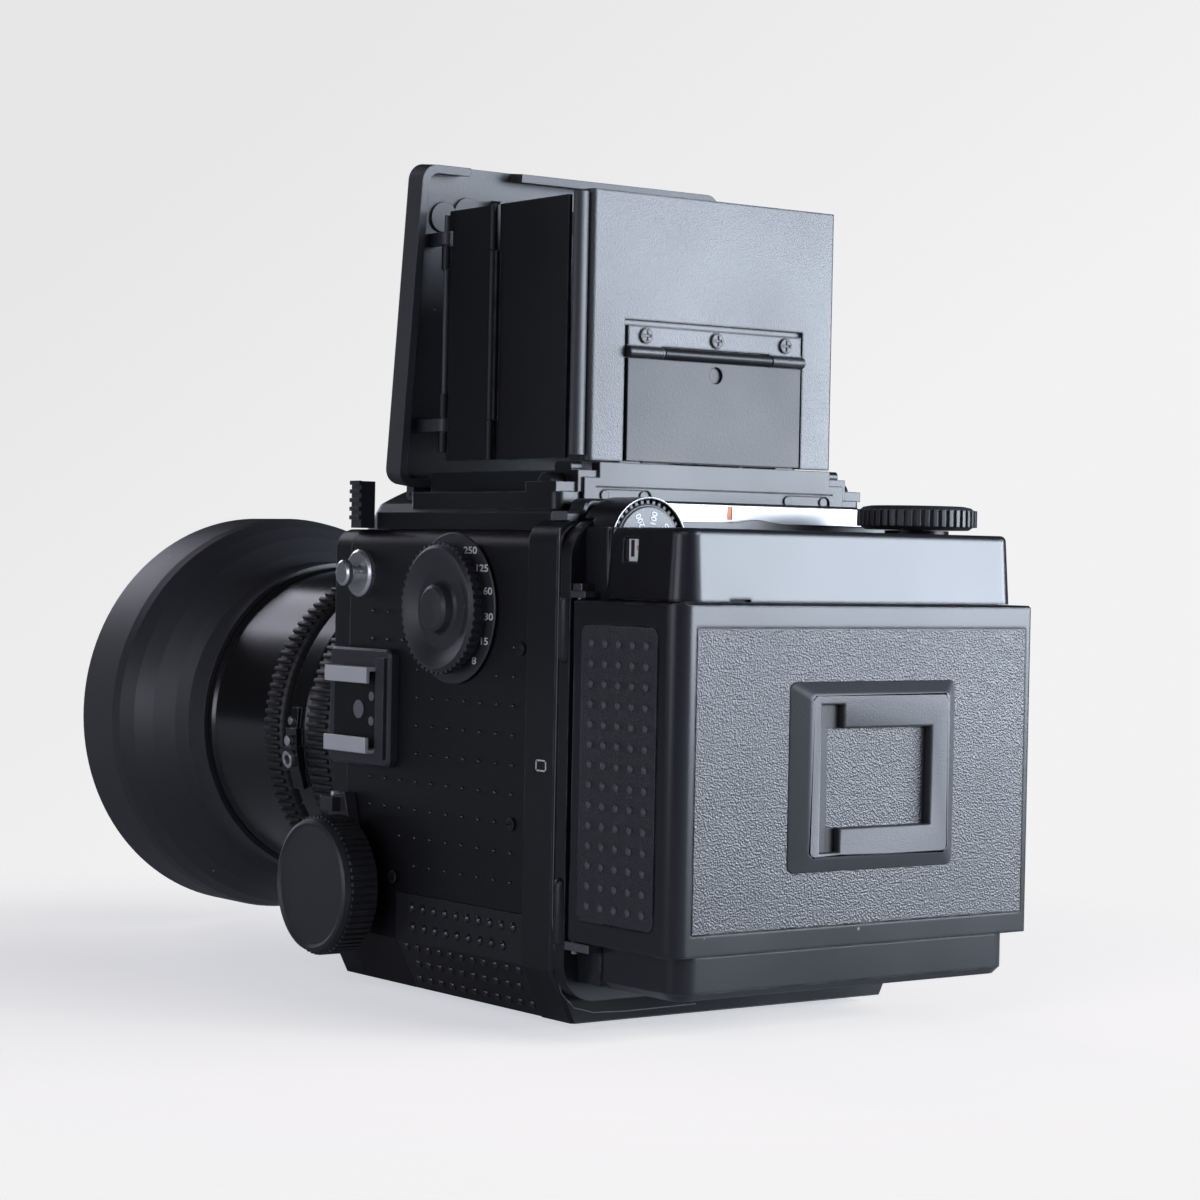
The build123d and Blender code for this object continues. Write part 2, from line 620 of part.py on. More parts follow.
with BuildPart() as hot_shoe_block:
    slab_x((body_half, shoe_face_x), (sum(shoe_ys) / 2, sum(shoe_zs) / 2),
           (shoe_ys[1] - shoe_ys[0]) / 2, (shoe_zs[1] - shoe_zs[0]) / 2, 2.0)
    chamfer(hot_shoe_block.faces().sort_by(Axis.X)[-1].edges(), 0.6)
    block((shoe_face_x - rail_foot, shoe_face_x + 1), rail_ys,
          (shoe_mid_z - shoe_inner / 2 - rail_wall, shoe_mid_z + shoe_inner / 2 + rail_wall), Mode.SUBTRACT)
    block((shoe_face_x, 54.6), (shoe_ys[1] - 4.4, shoe_ys[1] - 0.9), (shoe_zs[0] + 2, shoe_zs[1] - 2))
keep(hot_shoe_block, "hot_shoe_block")

with BuildPart() as hot_shoe_rails:
    leg = shoe_inner / 2 + rail_wall
    block((shoe_face_x - rail_foot, shoe_face_x), rail_ys, (shoe_mid_z - leg, shoe_mid_z + leg))
    lip_x = shoe_face_x + shoe_height
    for side in (1, -1):
        block((shoe_face_x, lip_x + rail_wall), rail_ys,
              (shoe_mid_z + side * shoe_inner / 2, shoe_mid_z + side * leg))
        block((lip_x, lip_x + rail_wall), rail_ys, (shoe_mid_z + side * shoe_mouth / 2, shoe_mid_z + side * leg))
    fillet(hot_shoe_rails.edges().filter_by(Axis.Y).group_by(Axis.X)[-1], 0.3)
keep(hot_shoe_rails, "hot_shoe_rails")

with BuildPart() as hot_shoe_contacts:
    rod_x((shoe_face_x, shoe_face_x + 0.35), -25.0, shoe_mid_z, 2.2)
    for z in (shoe_mid_z + 3.3, shoe_mid_z - 2.6):
        rod_x((shoe_face_x, shoe_face_x + 0.3), -19.4, z, 1.1)
keep(hot_shoe_contacts, "hot_shoe_contacts")

# Body screws and the pin beside the battery cover
left_screws = ((35.7, 44.8), (38.2, 84.0))
right_screws = ((38.2, 84.0), (37.5, 31.0), (-28.0, 84.0))

with BuildPart() as body_screws:
    rod_x((body_half, body_half + 1.6), -10.9, 28.6, 1.5)
    for y, z in left_screws:
        rod_x((body_half, body_half + 0.5), y, z, 1.5)
    for y, z in right_screws:
        rod_x((-body_half, -body_half - 0.5), y, z, 1.5)
    for side, screws in ((1, left_screws), (-1, right_screws)):
        for y, z in screws:
            block((side * (body_half + 0.25), side * (body_half + 1)), (y - 1.2, y + 1.2), (z - 0.2, z + 0.2),
                  Mode.SUBTRACT)
keep(body_screws, "body_screws")

# Housing over the lens board
hump_ys = (-54.0, -32.6)
hump_half = 36.0
hump_foot_z = 102.4
hump_top_z = 125.0

with BuildPart() as top_hump:
    with BuildSketch(facing_front(hump_ys[1])) as hump_face:
        with BuildLine():
            Polyline((-hump_half, body_top_z), (-hump_half + 4, 117.0))
            ThreePointArc((-hump_half + 4, 117.0), (0, hump_top_z), (hump_half - 4, 117.0))
            Polyline((hump_half - 4, 117.0), (hump_half, body_top_z), (-hump_half, body_top_z))
        make_face()
    extrude(hump_face.sketch, amount=hump_ys[1] - hump_ys[0])
    block((-hump_half, hump_half), (hump_ys[0], body_front_y), (hump_foot_z, body_top_z))
    fillet(top_hump.edges().filter_by(lambda e: abs(e.center().Y - hump_ys[0]) < 0.01
                                      and e.center().Z > body_top_z), 4.0)
keep(top_hump, "top_hump")

# Shutter button and the collar round it
collar_ys = (-46.2, body_front_y - flat_gap)

with BuildPart() as release_collar:
    turned([(collar_ys[0], button_radius + side_gap), (collar_ys[1], button_radius + side_gap),
            (collar_ys[1], collar_radius), (collar_ys[0] + 0.6, collar_radius), (collar_ys[0], collar_radius - 0.6)],
           (button_x, button_z))
    with Locations(Location((button_x, -44.2, button_z), (90, 0, 0))):
        with PolarLocations(collar_radius - 0.2, 5, start_angle=60, angular_range=60):
            Box(0.8, 0.8, 3.0)
keep(release_collar, "release_collar")

with BuildPart() as shutter_button:
    turned([(-48.6, 0), (-48.6, button_radius - 0.8), (-47.9, button_radius), (-45.0, button_radius),
            (-45.0, button_radius / 2), (-36.2, button_radius / 2), (-36.2, 0)], (button_x, button_z))
    with Locations((button_x, -52.0, button_z)):
        Sphere(3.7, mode=Mode.SUBTRACT)
keep(shutter_button, "shutter_button")

# Cocking lever on the right side
cock_xs = (-body_half - flat_gap, -54.8)
cock_hub = 9.0
cock_reach = 44.0

with BuildPart() as cocking_lever:
    rod_x(cock_xs, cock_y, cock_z, cock_hub)
    rod_x((-body_half - 1, -43.0), cock_y, cock_z, cock_stem)
    with BuildSketch(facing_left(cock_xs[1])) as arm_side:
        with BuildLine():
            Polyline((cock_y - 6.5, cock_z - 6.0), (cock_y - 3.5, cock_z + cock_reach - 8),
                     (cock_y, cock_z + cock_reach - 4), (cock_y + 5.5, cock_z + cock_reach - 6),
                     (cock_y + 6.5, cock_z - 6.0), close=True)
        make_face()
    extrude(arm_side.sketch, amount=abs(cock_xs[1] - cock_xs[0]))
    block((cock_xs[1] + 0.2, -62.0), (cock_y - 2.5, cock_y + 4.5),
          (cock_z + cock_reach - 14, cock_z + cock_reach - 7))
keep(cocking_lever, "cocking_lever")

# Finder seat, focusing screen and the finder's base
seat_zs = (body_top_z + 0.1, 115.3)
seat_ys = (-32.0, seat_rear_y)
base_slab_zs = (115.3, 119.3)
base_ys = (-18.0, 42.0)
light_half = 33.0
light_ys = (-13.0, 36.5)
screen_zs = (113.0, 115.0)
screen_lip = 2.0                 # how far the seat reaches under the focusing screen

with BuildPart() as finder_seat:
    slab_z(seat_zs, (0, sum(seat_ys) / 2), seat_half, (seat_ys[1] - seat_ys[0]) / 2, 2.0)
    block((-light_half + screen_lip, light_half - screen_lip), (light_ys[0] + screen_lip, light_ys[1] - screen_lip),
          (seat_zs[0] - 1, seat_zs[1] + 1), Mode.SUBTRACT)
    block((-light_half, light_half), light_ys, (screen_zs[0], seat_zs[1] + 1), Mode.SUBTRACT)
    chamfer(finder_seat.edges().filter_by(Axis.Y).group_by(Axis.Z)[-1].filter_by(
        lambda e: abs(e.center().X) > seat_half - 1), 0.8)
keep(finder_seat, "finder_seat")

with BuildPart() as focusing_screen:
    block((-light_half + 0.1, light_half - 0.1), (light_ys[0] + 0.1, light_ys[1] - 0.1), screen_zs)
keep(focusing_screen, "focusing_screen")

lid_hinge_y = -25.5
lid_hinge_z = 119.0
plate_hinge_y = 38.2
plate_hinge_z = 128.0
hinge_radius = 1.5
pin_radius = 0.7
lid_lug_xs = (24.0, 30.0)
base_wall_z = 124.2
plate_half = 36.0                # half the width of the finder's rear plate
plate_lug_xs = (20.0, 26.0)

with BuildPart() as finder_base:
    slab_z(base_slab_zs, (0, sum(base_ys) / 2), 45.0, (base_ys[1] - base_ys[0]) / 2, 2.0)
    block((-34, 34), (-30.0, base_ys[0] + 1), (base_slab_zs[0], 117.2))
    for side in (1, -1):
        block((side * lid_lug_xs[0], side * lid_lug_xs[1]), (lid_hinge_y - hinge_radius, lid_hinge_y + hinge_radius),
              (117.0, lid_hinge_z))
        rod_x((side * lid_lug_xs[0], side * lid_lug_xs[1]), lid_hinge_y, lid_hinge_z, hinge_radius)
    rod_x((-40.0, 40.0), lid_hinge_y, lid_hinge_z, pin_radius)
    block((-39.5, 39.5), (-17.0, 42.5), (base_slab_zs[1], base_wall_z))
    block((-38.2, 38.2), (42.4, 43.2), (116.0, 122.6))
    block((-34.0, 34.0), (39.9, 43.2), (122.0, 126.1))
    slab_x((-39.5, 39.5), (36.6, 125.0), 3.2, 1.2, 1.0)
    block((-35.4, 35.4), (-13.5, plate_hinge_y + 1.9), (120.5, 130), Mode.SUBTRACT)
    block((-plate_half - side_gap, plate_half + side_gap), (33.0, plate_hinge_y + 1.9), (base_wall_z, 130),
          Mode.SUBTRACT)
    block((-light_half, light_half), (light_ys[0], light_ys[1] - 0.5), (110, 121), Mode.SUBTRACT)
    for side in (1, -1):
        block((side * plate_lug_xs[0], side * plate_lug_xs[1]),
              (plate_hinge_y - hinge_radius, plate_hinge_y + hinge_radius), (119.6, plate_hinge_z))
        rod_x((side * plate_lug_xs[0], side * plate_lug_xs[1]), plate_hinge_y, plate_hinge_z, hinge_radius)
    rod_x((-34.0, 34.0), plate_hinge_y, plate_hinge_z, pin_radius)
    for side in (1, -1):
        slab_y((42.7, 44.0), 7.4, 2.6, 1.5, Mode.SUBTRACT, centre=(side * 26.7, 117.4))
        for x in (21.3, 32.3):
            rod_y(side * x, (42.5, 43.1), 118.7, 1.1)
    block((-35.0, 35.0), (42.95, 44), (120.45, 120.65), Mode.SUBTRACT)
    for side in (1, -1):
        block((side * 39.4, side * 45.0), (30.0, 41.8), (119.2, 121.5))
        rod_x((side * 39.4, side * 44.0), 36.0, 121.0, 2.6)
keep(finder_base, "finder_base")

# Finder lid: a leaning tray that carries the side leaves and the magnifier
lid_low = (-29.0, 121.4)
lid_high = (-20.5, 198.0)
lid_half = 45.0
lid_depth = 6.2
lid_floor = 1.6
lid_rim = 2.0
lid_lean = atan((lid_high[0] - lid_low[0]) / (lid_high[1] - lid_low[1]))
lid_length = (lid_high[1] - lid_low[1]) / cos(lid_lean)
lid_plane = Plane(origin=(0, lid_low[0], lid_low[1]), x_dir=(-1, 0, 0),
                  z_dir=(0, cos(lid_lean), -sin(lid_lean)))
leaf_pin_x = 37.8
leaf_pin_y = -14.6
magnifier_axis = (68.0, 3.6)     # height up the lid and depth into it
magnifier_half = 18.5
lug_heights = (134.0, 178.5)


def on_lid(up, out):
    """The (y, z) of a point that far up the lid and that far out from its back face."""
    return (lid_low[0] + up * sin(lid_lean) + out * cos(lid_lean),
            lid_low[1] + up * cos(lid_lean) - out * sin(lid_lean))


with BuildPart() as finder_lid:
    with BuildSketch(lid_plane) as lid_outline:
        with Locations((0, lid_length / 2)):
            RectangleRounded(2 * lid_half, lid_length, 4.0)
    extrude(lid_outline.sketch, amount=lid_depth)
    with BuildSketch(lid_plane.offset(lid_floor)) as lid_hollow:
        with Locations((0, lid_length / 2)):
            RectangleRounded(2 * (lid_half - lid_rim), lid_length - 2 * lid_rim, 2.6)
    extrude(lid_hollow.sketch, amount=lid_depth, mode=Mode.SUBTRACT)
    with BuildSketch(lid_plane.offset(lid_floor)) as lid_window:
        with Locations((-24.0, lid_length - 1.0)):
            Rectangle(15.0, 2.6)
    extrude(lid_window.sketch, amount=lid_depth, mode=Mode.SUBTRACT)
    for side in (1, -1):
        for height in lug_heights:
            block((side * (leaf_pin_x - 0.9), side * (leaf_pin_x + 1.4)), (-25.0, leaf_pin_y),
                  (height, height + 3.0))
            rod_z(side * leaf_pin_x, leaf_pin_y, (height, height + 3.0), 1.2)
        rod_z(side * leaf_pin_x, leaf_pin_y, (lug_heights[0] - 5.0, lug_heights[1] + 7.0), pin_radius)
    low_y, low_z = lid_hinge_y, lid_hinge_z
    rod_x((31.0, 40.0), low_y, low_z, hinge_radius)
    rod_x((-31.0, -40.0), low_y, low_z, hinge_radius)
    for side in (1, -1):
        block((side * 31.0, side * 40.0), (low_y - hinge_radius, low_y + hinge_radius), (low_z, 123.0))
        rod_x((side * 30.5, side * 41.0), low_y, low_z, pin_radius + shaft_gap, Mode.SUBTRACT)
    mag_y, mag_z = on_lid(*magnifier_axis)
    for side in (1, -1):
        with BuildSketch(lid_plane.offset(lid_floor - 0.5)) as bearing:
            with Locations((side * (magnifier_half + 2.0), magnifier_axis[0])):
                Rectangle(2.4, 4.0)
        extrude(bearing.sketch, amount=4.2)
    rod_x((-magnifier_half - 2.0, magnifier_half + 2.0), mag_y, mag_z, pin_radius)
    for x, up, radius in ((35.5, 65.0, 3.6), (29.0, 66.5, 3.6)):
        with BuildSketch(lid_plane.offset(lid_floor - 0.2)) as boss:
            with Locations((-x, up)):
                Circle(radius)
        extrude(boss.sketch, amount=0.9)
keep(finder_lid, "finder_lid")

# Magnifier that swings out of the lid
with BuildPart() as magnifier_frame:
    with BuildSketch(lid_plane.offset(magnifier_axis[1] - 1.2)) as magnifier_outline:
        with Locations((0, magnifier_axis[0] - 19.0)):
            RectangleRounded(2 * magnifier_half, 37.0, 4.0)
        with Locations((0, magnifier_axis[0] - 19.0)):
            Circle(15.0, mode=Mode.SUBTRACT)
    extrude(magnifier_outline.sketch, amount=2.4)
    rod_x((-magnifier_half, magnifier_half), mag_y, mag_z, 1.4)
    rod_x((-magnifier_half - 1, magnifier_half + 1), mag_y, mag_z, pin_radius + shaft_gap, Mode.SUBTRACT)
keep(magnifier_frame, "magnifier_frame")

with BuildPart() as magnifier_lens:
    with BuildSketch(lid_plane.offset(magnifier_axis[1] - 0.9)) as magnifier_glass:
        with Locations((0, magnifier_axis[0] - 19.0)):
            Circle(15.0)
    extrude(magnifier_glass.sketch, amount=1.8)
keep(magnifier_lens, "magnifier_lens")

# Side leaves of the finder
leaf_xs = (36.6, 37.5)
leaf_zs = (127.0, 186.5)
fold_y = 6.0
fold_x = 38.6
fold_radius = 0.95
leaf_rear_y = 34.4
fold_pin = 0.5
knuckle_zs = (136.3, 175.7)


def front_leaf(side):
    """The leaf hinged to the lid, with the pin that carries the rear leaf."""
    block((side * leaf_xs[0], side * leaf_xs[1]), (leaf_pin_y, fold_y - 1.2), leaf_zs)
    for low, high in ((leaf_zs[0], knuckle_zs[0] - 0.2), (knuckle_zs[1] + 0.2, leaf_zs[1])):
        block((side * leaf_xs[0], side * fold_x), (fold_y - 1.5, fold_y), (low, high))
        rod_z(side * fold_x, fold_y, (low, high), fold_radius)
    for height in lug_heights:
        block((side * (leaf_pin_x - 3), side * (leaf_pin_x + 3)), (leaf_pin_y - 2, leaf_pin_y + 2.0),
              (height - 0.3, height + 3.3), Mode.SUBTRACT)
    for low, high in ((lug_heights[0] - 5.0, lug_heights[0] - 0.3), (lug_heights[0] + 3.3, lug_heights[0] + 9.0),
                      (lug_heights[1] - 6.0, lug_heights[1] - 0.3)):
        rod_z(side * leaf_pin_x, leaf_pin_y, (low, high), 1.25)
    rod_z(side * leaf_pin_x, leaf_pin_y, (leaf_zs[0] - 1, leaf_zs[1] + 1), pin_radius + shaft_gap, Mode.SUBTRACT)
    rod_z(side * fold_x, fold_y, (leaf_zs[0], leaf_zs[1]), fold_pin)


def rear_leaf(side):
    """The leaf that folds back over the front one."""
    block((side * leaf_xs[0], side * leaf_xs[1]), (fold_y + 1.2, leaf_rear_y), leaf_zs)
    block((side * leaf_xs[0], side * fold_x), (fold_y, fold_y + 1.5), knuckle_zs)
    rod_z(side * fold_x, fold_y, knuckle_zs, fold_radius)
    rod_z(side * fold_x, fold_y, (leaf_zs[0] - 1, leaf_zs[1] + 1), fold_pin + shaft_gap, Mode.SUBTRACT)


with BuildPart() as left_front_leaf:
    front_leaf(1)
keep(left_front_leaf, "left_front_leaf")

with BuildPart() as right_front_leaf:
    front_leaf(-1)
keep(right_front_leaf, "right_front_leaf")

with BuildPart() as left_rear_leaf:
    rear_leaf(1)
keep(left_rear_leaf, "left_rear_leaf")

with BuildPart() as right_rear_leaf:
    rear_leaf(-1)
keep(right_rear_leaf, "right_rear_leaf")

# Rear plate of the finder, with its hinged sight door
plate_ys = (38.6, 41.3)
plate_zs = (126.5, 187.4)
plate_round = 1.3
recess_half = 26.3
recess_top_z = 158.7
recess_floor_y = 40.3
sight_half = 18.0
sight_zs = (131.0, 147.0)
door_half = 25.5
door_zs = (126.7, 150.0)
door_ys = (recess_floor_y + 0.2, 41.7)
barrel_y = 41.9
barrel_z = 151.4
barrel_radius_small = 1.3
strap_zs = (153.0, 157.4)
knuckle_edges = (-25.8, -16.0, 16.0, 25.8)

with BuildPart() as rear_plate:
    slab_z(plate_zs, (0, sum(plate_ys) / 2), plate_half, (plate_ys[1] - plate_ys[0]) / 2, plate_round)
    block((-plate_half, -plate_half + 2.4), (plate_ys[0] - 3.4, plate_ys[0] + 1), (plate_zs[0] + 3.6, plate_zs[1]))
    block((plate_half, plate_half - 2.4), (plate_ys[0] - 3.4, plate_ys[0] + 1), (plate_zs[0] + 3.6, plate_zs[1]))
    block((-recess_half, recess_half), (recess_floor_y, plate_ys[1] + 1), (plate_zs[0] - 1, recess_top_z),
          Mode.SUBTRACT)
    block((-sight_half, sight_half), (plate_ys[0] - 1, plate_ys[1] + 1), sight_zs, Mode.SUBTRACT)
    block((-door_half, door_half), (recess_floor_y, 41.6), strap_zs)
    for low, high in ((knuckle_edges[0], knuckle_edges[1]), (knuckle_edges[2], knuckle_edges[3])):
        block((low, high), (recess_floor_y, 41.6), (barrel_z, strap_zs[0] + 0.1))
        rod_x((low, high), barrel_y, barrel_z, barrel_radius_small)
    rod_x((knuckle_edges[0], knuckle_edges[3]), barrel_y, barrel_z, pin_radius)
    for x in (-20.6, 0.0, 20.6):
        rod_y(x, (41.4, 42.2), 155.2, 1.7)
        block((x - 1.2, x + 1.2), (42.0, 43), (154.95, 155.45), Mode.SUBTRACT)
        block((x - 0.25, x + 0.25), (42.0, 43), (154.0, 156.4), Mode.SUBTRACT)
    for low, high in ((-33.0, -26.6), (-19.4, 19.4), (26.6, 33.0)):
        block((low, high), (plate_ys[0] - 1, plate_ys[0] + 0.6), (plate_zs[0], 131.0), Mode.SUBTRACT)
    for side in (1, -1):
        block((side * 19.5, side * 26.5), (plate_ys[0] - 2, plate_hinge_y + 2.1), (plate_zs[0] - 1, 130.2),
              Mode.SUBTRACT)
        block((side * 27.2, side * 32.5), (plate_hinge_y, plate_ys[0] + 1), (plate_zs[0], 130.0))
        rod_x((side * 27.2, side * 32.5), plate_hinge_y, plate_hinge_z, hinge_radius)
        rod_x((side * 26.7, side * 33.0), plate_hinge_y, plate_hinge_z, hinge_radius, Mode.ADD)
    rod_x((-36.5, 36.5), plate_hinge_y, plate_hinge_z, pin_radius + shaft_gap, Mode.SUBTRACT)
keep(rear_plate, "rear_plate")

with BuildPart() as sight_door:
    block((-door_half, door_half), door_ys, door_zs)
    block((-15.7, 15.7), (door_ys[0], 41.6), (door_zs[1] - 0.5, barrel_z))
    rod_x((-15.7, 15.7), barrel_y, barrel_z, barrel_radius_small)
    rod_x((-16, 16), barrel_y, barrel_z, pin_radius + shaft_gap, Mode.SUBTRACT)
    rod_y(0.0, (door_ys[0] + 0.5, door_ys[1] + 1), 147.2, 1.9, Mode.SUBTRACT)
keep(sight_door, "sight_door")

# Finder release button
release_xs = (45.6, 49.6)
release_ys = (-36.6, seat_ys[0] - side_gap)
release_zs = (body_top_z + 0.3, 122.0)

with BuildPart() as finder_release_button:
    block(release_xs, release_ys, release_zs)
    for step in range(5):
        z = release_zs[0] + 2.0 + step * 2.1
        block((release_xs[1] - 0.1, release_xs[1] + 0.6), (release_ys[0], release_ys[1]), (z, z + 1.0))
keep(finder_release_button, "finder_release_button")

# Revolving adapter
adapter_ys = (frame_rear_y + flat_gap, 57.0)
adapter_half = 51.5
adapter_zs = (7.5, 113.1)
adapter_round = 8.5

with BuildPart() as revolving_adapter:
    slab_y(adapter_ys, adapter_half, (adapter_zs[1] - adapter_zs[0]) / 2, adapter_round,
           centre=(0, sum(adapter_zs) / 2))
    slab_y((adapter_ys[0] - 1, adapter_ys[1] + 1), gate_half, gate_half, 3.0, Mode.SUBTRACT)
    chamfer(revolving_adapter.faces().sort_by(Axis.Y)[0].outer_wire().edges(), 0.8)
    with BuildSketch(facing_front(adapter_ys[1])):
        with BuildLine():
            Spline((7.5, adapter_zs[1]), (0.5, adapter_zs[1] + 0.8), (-9.0, adapter_zs[1]),
                   tangents=[(-1, 0), (-1, 0)])
            Line((-9.0, adapter_zs[1]), (7.5, adapter_zs[1]))
        make_face()
    extrude(amount=adapter_ys[1] - adapter_ys[0] - 1.0)
keep(revolving_adapter, "revolving_adapter")

# Magazine frame: film gate, top and bottom housings, dark slide slot
frame_plate_ys = (adapter_ys[1], 65.0)
film_half_x = 34.75
film_half_z = 28.0
house_top_zs = (95.8, 111.3)
house_draft = 3.5                # degrees that the top housing's walls lean in
house_round = 1.3
house_low_zs = (11.9, 21.4)
house_left = 48.4
house_low_left = 48.0
house_front_y = 62.6
house_rear_y = 92.5
cover_zs = (21.6, 95.6)
hinge_x = 49.9
hinge_y = 58.9
hinge_pin_radius = 0.9
hinge_knuckle = 1.6
slide_ys = (58.6, 59.6)
slide_half_z = 34.0
slide_left_x = 42.0
spool_x = 32.5
spool_y = 79.6
spool_radius = 12.5
spool_zs = (26.5, 91.5)
journal_radius = 3.0
knob_x = -33.0
knob_y = 75.0
advance_radius = 13.7
advance_zs = (112.4, 117.8)
advance_boss = 7.3
advance_ribs = 44
speed_x = 36.8
speed_z = 107.85
speed_radius = 9.5
speed_ys = (62.4, 65.4)
speed_plate = 8.2                # the grey face with the figures
drum_radius = 10.2               # the round housing that the dial sits in
drum_ys = (53.5, 65.6)
counter_ys = (71.0, 76.0)

with BuildPart() as magazine_frame:
    house_centre = (0, (house_front_y + house_rear_y) / 2)
    house_half_y = (house_rear_y - house_front_y) / 2
    with BuildSketch(at_height(house_top_zs[0])):
        with Locations(house_centre):
            RectangleRounded(2 * house_left, 2 * house_half_y, 5.0)
    extrude(amount=house_top_zs[1] - house_top_zs[0], taper=house_draft)
    fillet(magazine_frame.faces().sort_by(Axis.Z)[-1].edges(), house_round)
    slab_z(house_low_zs, house_centre, house_low_left, house_half_y, 5.0)
    chamfer(magazine_frame.faces().sort_by(Axis.Z)[0].edges(), 1.6)
    block((-48.2, 47.5), frame_plate_ys, (house_low_zs[0], house_top_zs[1]))
    block((-46.0, 46.0), (frame_plate_ys[1] - 1, house_rear_y - 4), (house_low_zs[1] - 1, cover_zs[0] + 0.9))
    block((-46.0, 46.0), (frame_plate_ys[1] - 1, house_rear_y - 4), (cover_zs[1] - 0.9, house_top_zs[0] + 1))
    block((-film_half_x, film_half_x), (adapter_ys[1] - 1, frame_plate_ys[1] + 1),
          (axis_z - film_half_z, axis_z + film_half_z), Mode.SUBTRACT)
    block((-60, slide_left_x + 1.0), (slide_ys[0] - flat_gap, slide_ys[1] + flat_gap),
          (axis_z - slide_half_z - flat_gap, axis_z + slide_half_z + flat_gap), Mode.SUBTRACT)
    for x in (spool_x, -spool_x):
        rod_z(x, spool_y, (house_low_zs[1] - 3.0, house_low_zs[1] + 5), journal_radius + shaft_gap, Mode.SUBTRACT)
        rod_z(x, spool_y, (house_top_zs[0] - 5, house_top_zs[0] + 3.0), journal_radius + shaft_gap, Mode.SUBTRACT)
    rod_z(knob_x, knob_y, (house_top_zs[1] - 6.0, house_top_zs[1] + 1), journal_radius + shaft_gap, Mode.SUBTRACT)
    rod_y(speed_x, drum_ys, speed_z, drum_radius)
    block((speed_x - drum_radius - 1, speed_x + drum_radius + 1), (drum_ys[0] - 1, frame_plate_ys[0]),
          (speed_z - drum_radius - 1, adapter_zs[1] + flat_gap), Mode.SUBTRACT)
    rod_y(speed_x, (speed_ys[0] - flat_gap, speed_ys[1] + 1.0), speed_z, speed_radius + side_gap, Mode.SUBTRACT)
    rod_y(speed_x, (57.5, 62.5), speed_z, 1.5 + shaft_gap, Mode.SUBTRACT)
    block((house_left - 1.4, house_left + 1), counter_ys, (103.8, 109.0), Mode.SUBTRACT)
    block((30.0, 35.8), (house_rear_y - 1.0, house_rear_y + 1), (house_top_zs[0] - 0.1, house_top_zs[0] + 0.6),
          Mode.SUBTRACT)
    rod_z(knob_x, knob_y, (house_top_zs[1] - 0.1, advance_zs[0] - flat_gap), advance_boss)
    rod_z(knob_x, knob_y, (house_top_zs[1] - 6.0, house_top_zs[1] + 1), journal_radius + shaft_gap, Mode.SUBTRACT)
keep(magazine_frame, "magazine_frame")

# Hinge pins of the magazine cover with their cap plates
with BuildPart() as hinge_pins:
    for low, high, cap in ((83.0, 97.0, 97.0), (18.6, 34.0, 18.6)):
        rod_z(hinge_x, hinge_y, (low, high), hinge_pin_radius)
        if cap > axis_z:
            block((47.5, hinge_x + 1.6), (adapter_ys[1] + flat_gap, 62.4), (95.9, 97.4))
            block((47.5, hinge_x + 1.2), (adapter_ys[1] + flat_gap, 60.6), (97.3, 99.0))
        else:
            block((47.5, hinge_x + 1.6), (adapter_ys[1] + flat_gap, 62.4), (19.4, 21.3))
            block((48.0, hinge_x + 1.6), (62.3, 66.0), (19.4, 21.3))
keep(hinge_pins, "hinge_pins")

with BuildPart() as dark_slide:
    block((-52.5, slide_left_x), slide_ys, (axis_z - slide_half_z, axis_z + slide_half_z))
    slab_x((-59.0, -52.0), (sum(slide_ys) / 2, axis_z), 1.8, 20.0, 1.5)
    block((-57.0, -54.2), (55, 63), (axis_z - 12, axis_z + 12), Mode.SUBTRACT)
keep(dark_slide, "dark_slide")

with BuildPart() as pressure_plate:
    block((-18.5, 18.5), (frame_plate_ys[1] + 1.9, frame_plate_ys[1] + 3.0), (28.0, 90.0))
    block((-36.0, 36.0), (frame_plate_ys[1] + 0.4, frame_plate_ys[1] + 1.9), (28.0, 90.0))
keep(pressure_plate, "pressure_plate")


def film_spool(x):
    """A roll film spool standing on its two journals."""
    turned_z([(18.8, 0), (18.8, journal_radius), (spool_zs[0], journal_radius), (spool_zs[0], spool_radius),
              (spool_zs[0] + 1.2, spool_radius), (spool_zs[0] + 1.2, 7.0), (spool_zs[1] - 1.2, 7.0),
              (spool_zs[1] - 1.2, spool_radius), (spool_zs[1], spool_radius), (spool_zs[1], journal_radius),
              (98.4, journal_radius), (98.4, 0)], (x, spool_y))


with BuildPart() as takeup_spool:
    film_spool(-spool_x)
keep(takeup_spool, "takeup_spool")

with BuildPart() as supply_spool:
    film_spool(spool_x)
    rod_z(spool_x, spool_y, (spool_zs[0] + 1.0, spool_zs[1] - 1.0), 10.4)
keep(supply_spool, "supply_spool")

with BuildPart() as advance_knob:
    low, high = advance_zs
    core = advance_radius - 0.7
    turned_z([(low - 6.0, 0), (low - 6.0, journal_radius), (low, journal_radius), (low, core - 1.2),
              (low + 0.8, core), (high - 0.9, core), (high - 0.3, core - 0.7), (high, core - 2.3), (high, 0)],
             (knob_x, knob_y))
    with Locations((knob_x, knob_y, (low + high) / 2 - 0.1)):
        with PolarLocations(core - 0.2, advance_ribs):
            Box(1.8, 1.0, high - low - 1.6)
keep(advance_knob, "advance_knob")

